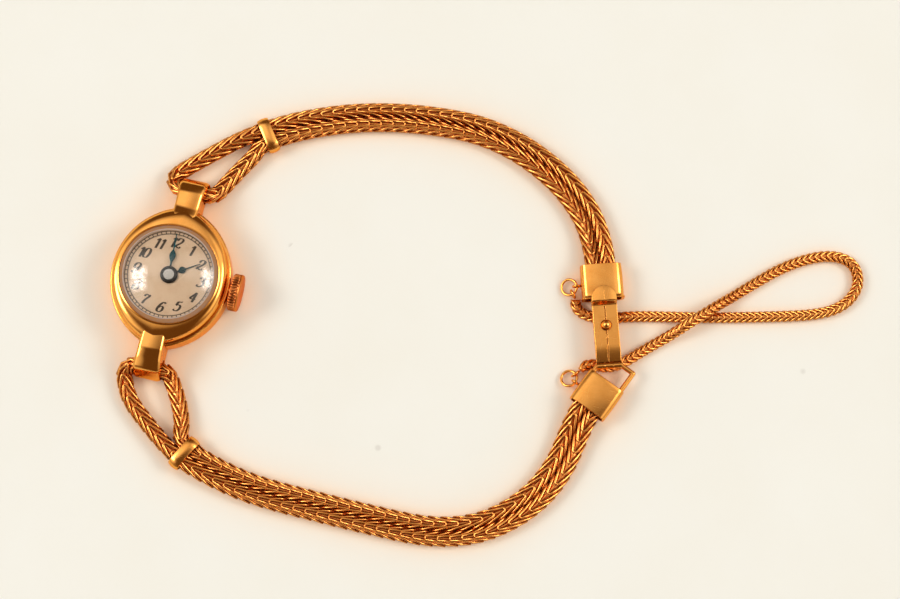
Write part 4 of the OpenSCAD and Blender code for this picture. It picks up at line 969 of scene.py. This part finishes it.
class CrystalOperator(bpy.types.Operator):
    """Blows the domed crystal as a shell of even wall with a brown, frosty edge"""

    bl_idname = "watch.crystal"
    bl_label = "Crystal"

    def execute(self, context):
        outside = self.dome(DOME_R, CRYSTAL_R - 0.06, 26)
        inside = self.dome(DOME_R - CRYSTAL_WALL, LEDGE_R + 0.05, 22)[::-1]
        foot = SEAT_Z + 0.02
        wall = np.array([[CRYSTAL_R, outside[-1, 1] - 0.06], [CRYSTAL_R, foot + 0.06],
                         [CRYSTAL_R - 0.06, foot], [LEDGE_R + 0.1, foot], [LEDGE_R + 0.05, foot + 0.03]])
        shell = revolve(np.vstack([outside, wall, inside]), 128, closed=False)
        new_piece("domed_crystal", shell, "case", self.glass(), "crystal", 30)
        return {"FINISHED"}

    def dome(self, r, rim, n):
        """Arc of a sphere of radius r, from the axis out to where it lies rim from it."""
        arc = arc_points(0, CRYSTAL_TOP - DOME_R, r, 90, math.degrees(math.acos(rim / r)), n)
        arc[0, 0] = 0.0
        return arc

    def glass(self):
        """Clear and slightly hazed, with a streaky brown ring at its rim, by radius. Most of a shadow
            ray passes."""
        m, t, bsdf = new_material("crystal")
        where = object_place(t)
        haze = noise(t, where, 900, 3)
        streaks = ramp(t, noise(t, where, 1700, 4), 0.2, 0.6)
        # a streaky brown, rougher ring at the rim, by radius
        worn = times(t, ramp(t, flat_radius(t, where), 0.0053, 0.00548), times_plus(t, streaks, 0.1, 0.9))
        rough = times_plus(t, ramp(t, haze, 0.5, 0.8), 0.035, times(t, worn, 0.4), clamp=True)
        tint = mix_colour(t, ramp(t, haze, 0.3, 0.8), (1.0, 0.995, 0.985), (0.97, 0.965, 0.95))
        brown = mix_colour(t, streaks, (0.23, 0.095, 0.035), (0.38, 0.185, 0.08))
        shadow = added(t, "ShaderNodeLightPath").outputs["Is Shadow Ray"]
        fed(t, bsdf, {"IOR": 1.49, "Transmission Weight": times_plus(t, worn, -1.0, 1.0),
                      "Specular IOR Level": times_plus(t, worn, -0.45, 0.5), "Roughness": rough,
                      "Base Color": mix_colour(t, worn, tint, brown),
                      "Normal": bumped(t, haze, 0.03, 0.00002),
                      "Alpha": times_plus(t, shadow, -0.93, 1.0)})
        return m


# Pen strokes of the numerals, in a box one high: each list is a route of the pen
DIGITS = {
    "0": [[(.30, 1), (.10, .93), (.02, .62), (.02, .36), (.10, .06), (.28, 0), (.48, .07), (.56, .38),
           (.56, .64), (.48, .94), (.28, 1)]],
    "1": [[(.06, .78), (.2, .86), (.33, 1)], [(.33, 1), (.33, .5), (.33, 0)], [(.2, 0), (.46, 0)]],
    "2": [[(.1, .72), (.05, .82), (.12, .97), (.32, 1.01), (.54, .93), (.54, .66), (.36, .44), (.12, .2),
           (.02, .03)], [(.02, .03), (.16, .14), (.34, .02), (.5, 0), (.6, .16)]],
    "3": [[(.1, .76), (.08, .9), (.24, 1.02), (.5, .97), (.5, .66), (.22, .56)],
          [(.22, .56), (.54, .56), (.6, .2), (.4, -.02), (.1, 0), (.04, .18)]],
    "4": [[(.42, 1), (.2, .62), (0, .3)], [(0, .3), (.3, .3), (.62, .3)], [(.42, 1), (.42, .5), (.42, 0)],
          [(.3, 0), (.54, 0)]],
    "5": [[(.16, .97), (.34, .93), (.54, 1.02)], [(.16, .97), (.12, .76), (.09, .54)],
          [(.09, .54), (.24, .66), (.52, .6), (.58, .28), (.44, .02), (.14, -.03), (.03, .14)]],
    "6": [[(.5, .86), (.48, 1), (.26, 1), (.06, .66), (-.02, .2), (.14, -.03), (.42, -.01), (.56, .24),
           (.46, .56), (.2, .56), (.06, .36)]],
    "7": [[(.06, .76), (.04, .97)], [(.04, .97), (.18, 1), (.38, .92), (.56, .98)],
          [(.56, .98), (.36, .62), (.2, .34), (.18, 0)]],
    "8": [[(.3, .54), (.06, .66), (.06, .94), (.3, 1.02), (.52, .94), (.52, .68), (.3, .54), (.02, .4),
           (0, .06), (.28, -.04), (.56, .06), (.56, .38), (.3, .54)]],
    "9": [[(.06, .14), (.08, 0), (.3, 0), (.5, .34), (.58, .8), (.42, 1.03), (.14, 1.01), (0, .76),
           (.1, .44), (.36, .44), (.5, .64)]],
}


def pen_stroke(points, thin=0.1, thick=0.25):
    """A flat ribbon along a smoothed route. Its width follows a broad pen held level: thin where
    the route runs level, thick where it runs upright, drawn to a point at both ends."""
    p = cut_corners(points, 3)
    steps = np.linalg.norm(np.diff(p, axis=0), axis=1)
    s = np.concatenate([[0], np.cumsum(steps)])
    n = max(int(s[-1] / 0.045), 4)
    u = np.linspace(0, s[-1], n)
    p = np.column_stack([np.interp(u, s, p[:, 0]), np.interp(u, s, p[:, 1])])
    t = unit(np.gradient(p, axis=0))
    w = thin + (thick - thin) * np.abs(t[:, 1]) ** 1.6
    w *= np.clip(np.minimum(u, s[-1] - u) / 0.05, 0.45, 1)
    side = np.column_stack([-t[:, 1], t[:, 0]]) * w[:, None] / 2
    return p + side, p - side


def numeral(text):
    """Strokes of one numeral, slanted, centred on its own middle, one high."""
    x0, out = 0.0, []
    for digit in text:
        out += [pen_stroke(np.array(stroke) + [x0, 0]) for stroke in DIGITS[digit]]
        x0 += 0.52 if digit == "1" else 0.72
    every = np.vstack([np.vstack(o) for o in out])
    mid = (every.max(0) + every.min(0)) / 2
    slant = np.array([[1, 0], [0.3, 1]])
    return [((a - mid) @ slant, (b - mid) @ slant) for a, b in out]


class DialOperator(bpy.types.Operator):
    """Silvers the dial, prints the minute track and pens the numerals"""

    bl_idname = "watch.dial"
    bl_label = "Dial"

    def execute(self, context):
        dress(["dial"], self.silvering())
        high, r = sizes().numeral_height / MM, sizes().numeral_radius / MM
        parts = []
        for hour in range(1, 13):
            a = math.radians(90 - 30 * hour)
            middle = np.array([r * math.cos(a), r * math.sin(a)])
            for left, right in numeral(str(hour)):
                parts.append(self.slab(np.vstack([left, right]) * high + middle))
        new_piece("dial_numerals", joined(parts), "case", self.ink(), sharp=30)
        return {"FINISHED"}

    def slab(self, xy):
        """One stroke of ink as a thin closed slab: xy holds its left edge, then its right one."""
        k = len(xy) // 2
        count = np.arange(k)
        ring = np.concatenate([count, 2 * k - 1 - count])
        x, y = xy[ring].T
        z = DIAL_TOP + np.array([[0.001], [0.012]])
        verts, walls = grid(x, y, z, False, True)
        one = np.stack([count[:-1], count[1:], 2 * k - 2 - count[:-1], 2 * k - 1 - count[:-1]], -1)
        return verts, walls + (one + 2 * k).tolist() + one[:, ::-1].tolist()

    def ink(self):
        m, t, bsdf = new_material("dial_ink")
        worn = noise(t, object_place(t), 9000, 4, 0.7)
        fade = mix_colour(t, ramp(t, worn, 0.55, 0.9), colours().ink, (0.12, 0.08, 0.055))
        fed(t, bsdf, {"Base Color": fade, "Roughness": ramp(t, worn, -1.0, 1.4)})
        return m

    def silvering(self):
        """Satin silver, yellowed with age: a fine grain and small stains. The track is printed
        where the radius is near one of two circles, or between them where the angle, counted in
        sixtieths, is near a whole number."""
        m, t, bsdf = new_material("dial_silvering")
        where = object_place(t)
        c = colours().dial
        fine = noise(t, where, 15000, 3, 0.7)
        stain = noise(t, where, 700, 5, 0.65)
        base = mix_colour(t, ramp(t, fine, 0.3, 0.75), tinted(c, 0.88), tinted(c, 1.08))
        base = mix_colour(t, times(t, ramp(t, stain, 0.5, 0.8), 0.5), base, tinted(c, 0.74, 0.66, 0.56))
        x, y, _ = parts_of(t, where)
        r = flat_radius(t, where)
        low, high, line = 0.00488, 0.00522, 0.0001

        def near(at):
            share = math_node(t, "DIVIDE", apart(t, r, at), line)
            return math_node(t, "SUBTRACT", 1.0, share, clamp=True)

        minute = times(t, math_node(t, "ARCTAN2", y, x), 60 / (2 * math.pi))
        off = times(t, math_node(t, "PINGPONG", minute, 0.5), r)
        tick = math_node(t, "LESS_THAN", off, 0.11 * 0.0051)
        between = times(t, math_node(t, "GREATER_THAN", r, low), math_node(t, "LESS_THAN", r, high))
        lines = math_node(t, "MAXIMUM", near(low), near(high))
        printed = times(t, math_node(t, "MAXIMUM", lines, times(t, tick, between)), 1.25, clamp=True)
        printed = times(t, printed, 0.96)
        fed(t, bsdf, {"Base Color": mix_colour(t, printed, base, colours().ink),
                      "Metallic": times_plus(t, printed, -0.55, 0.55, clamp=True),
                      "Roughness": times_plus(t, ramp(t, stain, 0.3, 0.8), 0.12, 0.42),
                      "Normal": bumped(t, fine, 0.2, 0.00001)})
        return m


class HandsOperator(bpy.types.Operator):
    """Files the two blued hands and polishes the cannon pinion"""

    bl_idname = "watch.hands"
    bl_label = "Hands"

    def execute(self, context):
        s = sizes()
        for kind, z, hole, boss, leaf, tip, reading in (
                ("hour", HOUR_Z, 0.55, 1.04, (1.0, 2.15, 0.86), s.hour_len, s.hour_angle),
                ("minute", MINUTE_Z, 0.35, 0.86, (1.25, 3.05, 0.74), s.minute_len, s.minute_angle)):
            blade = turned(self.hand(z, hole, boss, leaf, tip / MM), -math.degrees(reading))
            new_piece(kind + "_hand_blade", blade, kind + "_group", blued(), kind + "_hand",
                      35)
        dress(["cannon_pinion"], steel())
        return {"FINISHED"}

    def hand(self, z, hole, boss, leaf, tip):
        """A closed blade along +Y. Its half width at y is the boss's circle, then a lens from
        leaf[0] to leaf[1] that is fullest past its middle, then a needle; the top is crowned."""
        y = np.concatenate([np.linspace(boss * 0.8, leaf[1], 30), np.linspace(leaf[1], tip, 14)[1:]])
        t = np.clip((y - leaf[0]) / (leaf[1] - leaf[0]), 0, 1)
        lens = leaf[2] / 2 * np.sin(math.pi * t ** 1.25) ** 0.9
        needle = np.interp(y, [0, leaf[1], tip - 0.1, tip], [0.13, 0.085, 0.05, 0.012])
        half = np.maximum(lens, needle)
        u = np.array([-1, -0.92, -0.5, 0, 0.5, 0.92, 1, 0.92, -0.92])
        lift = np.array([0.3, 0.72, 0.94, 1.0, 0.94, 0.72, 0.3, 0.0, 0.0]) * HAND_T
        blade = grid(half[:, None] * u, y[:, None], z + lift, False, True, caps=True)
        top = z + HAND_T
        loop = np.vstack([[(hole + 0.02, z), (hole, z + 0.02), (hole, top - 0.02), (hole + 0.02, top)],
                          arc_points(boss - 0.05, z + HAND_T / 2, HAND_T / 2, 90, -90, 7)])
        return joined([blade, revolve(loop, 64)])


class CrownOperator(bpy.types.Operator):
    """Cuts the fluted crown"""

    bl_idname = "watch.crown"
    bl_label = "Crown"

    def execute(self, context):
        """Round the stem the radius sinks by a rounded square wave between the flutes' ridges,
        which run out before the smooth outer rim; the end face is dished."""
        flutes = sizes().crown_flutes
        a = circle(flutes * 8)
        wave = np.clip(0.7 + 1.0 * np.cos(flutes * a), 0, 1)
        x = np.array([0, 0, 0.0, 0.04, 0.14, 0.5, 0.78, 0.86, 0.92, 1.04, 1.14, 1.2, 1.2, 1.17, 1.13])
        r = CROWN_R + np.array([-1.94, -0.85, -0.2, -0.08, 0, 0, 0, 0, 0, 0, -0.06, -0.2, -0.6, -1.4, -2.2])
        deep = np.array([0, 0, 0.06, 0.14, 0.19, 0.2, 0.19, 0.12, 0.03, 0, 0, 0, 0, 0, 0])
        radius = r[:, None] - deep[:, None] * (1 - wave)
        y, z = radius * np.cos(a), STEM_Z + radius * np.sin(a)
        crown = grid(CROWN_X + x[:, None], y, z, False, True, caps=True)
        new_piece("fluted_crown", crown, "stem", rose_gold(), "crown", 45)
        dress(["winding_stem"], steel())
        return {"FINISHED"}


def shell_tube(stations, half_w, half_h, r, wall, z, crown=0.15):
    """A rounded box tube along X. stations are (x, grow) of the outside from one end to the
    other, its broad faces are crowned by a share of their height, and the inside is a plain
    rounded box less the wall."""
    def outline(grow):
        p = round_box(half_w + grow, half_h + grow, r + min(grow, 0))
        return p * np.column_stack([np.ones(len(p)), 1 - crown * (p[:, 0] / half_w) ** 2])

    hollow = round_box(half_w - wall, half_h - wall, r - wall) * [1, 1 - crown * 0.4]
    x = np.array([s[0] for s in stations] + [stations[-1][0], stations[0][0]])
    yz = np.array([outline(s[1]) for s in stations] + [hollow, hollow])
    return grid(x[:, None], yz[..., 0], yz[..., 1] + z, True, True)


class KeepersOperator(bpy.types.Operator):
    """Bends the two keepers that hold the strands side by side"""

    bl_idname = "watch.keepers"
    bl_label = "Keepers"

    def execute(self, context):
        h = KEEPER_LEN / 2
        share = np.linspace(-1, 1, 13)
        stations = [(-h, -0.2), *zip(share * (h - 0.02), -0.14 * share ** 2), (h, -0.2)]
        band = shell_tube(stations, KEEPER_W / 2, KEEPER_Z, KEEPER_WALL + 0.7, KEEPER_WALL, KEEPER_Z, 0.2)
        for half, at, turn in (("upper", UPPER_KEEPER, UPPER_KEEPER_TURN),
                               ("lower", LOWER_KEEPER, LOWER_KEEPER_TURN)):
            new_piece(half + "_keeper_band", turned(band, turn, at), half + "_bracelet", clasp_gold(),
                      half + "_keeper", sharp=50)
        return {"FINISHED"}


class EndCapsOperator(bpy.types.Operator):
    """Raises the two end caps: one with a flared open mouth, one with its mouth closed"""

    bl_idname = "watch.end_caps"
    bl_label = "End caps"

    def execute(self, context):
        h = CAP_LEN / 2
        share = np.linspace(-1, 0.8, 12)
        pillow = [(-h, -0.14), *zip(share * (h - 0.03), -0.06 * share ** 2)]
        flared = pillow + [(h - 0.3, -0.02), (h - 0.2, 0.04), (h - 0.1, 0.09), (h - 0.03, 0.1), (h, 0.06)]
        plain = pillow + [(h - 0.1, -0.05), (h - 0.03, -0.08), (h, -0.16)]
        stop = self.plug(-0.2, 0.2)
        lid = self.plug(h - CAP_WALL, h - 0.03)
        for half, stations, walls, turn, at in (("upper", flared, [stop], UPPER_TURN, UPPER_CAP),
                                                ("lower", plain, [stop, lid], LOWER_TURN, LOWER_CAP)):
            shell = shell_tube(stations, CAP_W / 2, CAP_H / 2, CAP_CORNER, CAP_WALL, CAP_Z)
            new_piece(half + "_cap_shell", turned(joined([shell, *walls]), turn, at), half + "_bracelet",
                      clasp_gold(), half + "_end_cap", sharp=50)
        return {"FINISHED"}

    def plug(self, x0, x1):
        """A flat wall across the inside of a cap."""
        less = CAP_WALL - 0.02
        y, z = round_box(CAP_W / 2 - less, CAP_H / 2 - less, CAP_CORNER - less).T
        return grid(np.array([[x0], [x1]]), y[None], z[None] + CAP_Z, False, True, caps=True)


class ClaspOperator(bpy.types.Operator):
    """Stamps the fold leaf with its raised tab, slit and hole, and finishes the leaf under it"""

    bl_idname = "watch.clasp"
    bl_label = "Clasp"

    def execute(self, context):
        leaf = joined([self.half_leaf(1), self.half_leaf(-1), self.knuckle()])
        new_piece("fold_leaf_plate", turned(leaf, UPPER_TURN, UPPER_CAP), "clasp_leaf", clasp_gold(),
                  "clasp_fold_leaf", sharp=35)
        dress(["clasp_base_leaf", "clasp_ball_stud", "clasp_hinge_pin", "catch_loop"], clasp_gold())
        return {"FINISHED"}

    def half_leaf(self, side):
        """One side of the leaf as rows along it. Each row is a small rounded box from the slit's
        edge to the outer edge; the outer edge is a half circle at the tab, the inner one bends
        round the stud's hole, and the height steps down from the tab to the plate."""
        tab0, tab1 = CAP_LEN / 2 - 1.4, CAP_LEN / 2 + 0.4
        foot, end = tab1 + 0.5, LEAF_LEN - KNUCKLE_R - 0.05
        hole = 0.65
        half = LEAF_W / 2
        x = np.unique(np.concatenate([
            tab0 + half * (1 - np.cos(np.linspace(0, math.pi / 2, 14))),
            np.linspace(tab1 - 0.2, foot + 0.2, 14), np.linspace(foot, end, 24),
            BALL_X + hole * np.cos(np.linspace(0, math.pi, 21))]))
        x = x[(x >= tab0) & (x <= end)]
        before = np.maximum(tab0 + half - x, 0)
        outer = np.maximum(np.sqrt(np.maximum(half ** 2 - before ** 2, 0.0)), 0.12)
        slit = np.where((x > foot + 0.1) & (x < LEAF_LEN - 0.6), 0.06, -0.08)
        inner = np.maximum(slit, np.sqrt(np.maximum(hole ** 2 - (x - BALL_X) ** 2, 0.0)))
        t = np.clip((x - tab1) / (foot - tab1), 0, 1)
        base = TAB_Z + (FOLD_Z - TAB_Z) * (3 * t ** 2 - 2 * t ** 3)
        drop = 0.24 * np.clip((x - end + 1.9) / 1.9, 0, 1) ** 1.5
        c, inner_c = 0.05, 0.012
        share = np.array([1, 1, 1, 0.75, 0.5, 0.25, 0, 0, 0, 0, 0.5, 1])
        shift = np.array([0, 0, inner_c, 0, 0, 0, -c, 0, 0, -c, 0, inner_c])
        high = np.array([c, LEAF_T - c] + 5 * [LEAF_T] + [LEAF_T - c, c, 0, 0, 0])
        y = inner[:, None] * share + outer[:, None] * (1 - share) + shift
        rho = (y ** 2 + before[:, None] ** 2) / half ** 2
        lift = 0.15 * np.clip(1 - rho, 0, 1) * (1 - t)[:, None] - drop[:, None]
        z = base[:, None] + high + lift * (high > LEAF_T / 2)
        return grid(x[:, None], side * y, z, False, True, caps=True)

    def knuckle(self):
        """The middle knuckle: a short tube across the leaf's end, round the hinge pin."""
        w = LEAF_W / 6
        y = np.array([-w, -w + 0.03, w - 0.03, w, w, -w])
        r = np.array([KNUCKLE_R - 0.03, KNUCKLE_R, KNUCKLE_R, KNUCKLE_R - 0.03, 0.17, 0.17])
        a = circle(40)
        x, z = LEAF_LEN + r[:, None] * np.cos(a), HINGE_Z + r[:, None] * np.sin(a)
        return grid(x, y[:, None], z, True, True)


class RingsOperator(bpy.types.Operator):
    """Gives the eyelets, jump rings and end links their worn gold"""

    bl_idname = "watch.rings"
    bl_label = "Rings"

    def execute(self, context):
        rings = ("eyelet", "jump_ring", "chain_link")
        dress([f"{half}_{ring}" for half in ("upper", "lower") for ring in rings], clasp_gold())
        return {"FINISHED"}


class MovementOperator(bpy.types.Operator):
    """Finishes the hidden movement: grained nickel, gilt wheels, polished and blued steel"""

    bl_idname = "watch.movement"
    bl_label = "Movement"

    def execute(self, context):
        dress(["main_plate", "barrel_bridge", "train_bridge", "pallet_bridge", "balance_cock"], nickel())
        dress(["barrel", "barrel_cover", "centre_wheel", "third_wheel", "fourth_wheel", "balance",
               "minute_wheel", "hour_wheel"], gilt())
        dress(["sliding_pinion", "winding_pinion", "crown_wheel", "ratchet_wheel", "barrel_arbor",
               "click", "setting_lever", "yoke", "bridge_screws", "escape_wheel", "pallet_fork"], steel())
        dress(["mainspring", "hairspring"], blued())
        return {"FINISHED"}


OPERATORS = (StageOperator, SafetyChainOperator, WovenChainsOperator, CaseOperator, CrystalOperator,
             DialOperator, HandsOperator, CrownOperator, KeepersOperator, EndCapsOperator,
             ClaspOperator, RingsOperator, MovementOperator)


class WatchPanel(bpy.types.Panel):
    """Lists the pieces of the watch"""

    bl_idname = "VIEW3D_PT_watch"
    bl_label = "Watch"
    bl_space_type = "VIEW_3D"
    bl_region_type = "UI"
    bl_category = "Watch"

    def draw(self, context):
        for operator in OPERATORS:
            self.layout.operator(operator.bl_idname)
        for group in (context.scene.watch_sizes, context.scene.watch_colours):
            for key in group.bl_rna.properties.keys():
                if key not in ("rna_type", "name"):
                    self.layout.prop(group, key)


def register():
    for c in (WatchSizes, WatchColours, *OPERATORS, WatchPanel):
        bpy.utils.register_class(c)
    bpy.types.Scene.watch_sizes = PointerProperty(type=WatchSizes)
    bpy.types.Scene.watch_colours = PointerProperty(type=WatchColours)


def unregister():
    del bpy.types.Scene.watch_colours
    del bpy.types.Scene.watch_sizes
    for c in reversed((WatchSizes, WatchColours, *OPERATORS, WatchPanel)):
        bpy.utils.unregister_class(c)


def main():
    register()
    for operator in OPERATORS:
        group, name = operator.bl_idname.split(".")
        getattr(getattr(bpy.ops, group), name)()
    left = [n for n, o in NODES.items()
            if o.visible_get() and o.data.materials and o.data.materials[0].name in PACKED]
    if left:
        raise RuntimeError(f"CAD nodes with no finish: {left}")


if __name__ == "__main__":
    main()
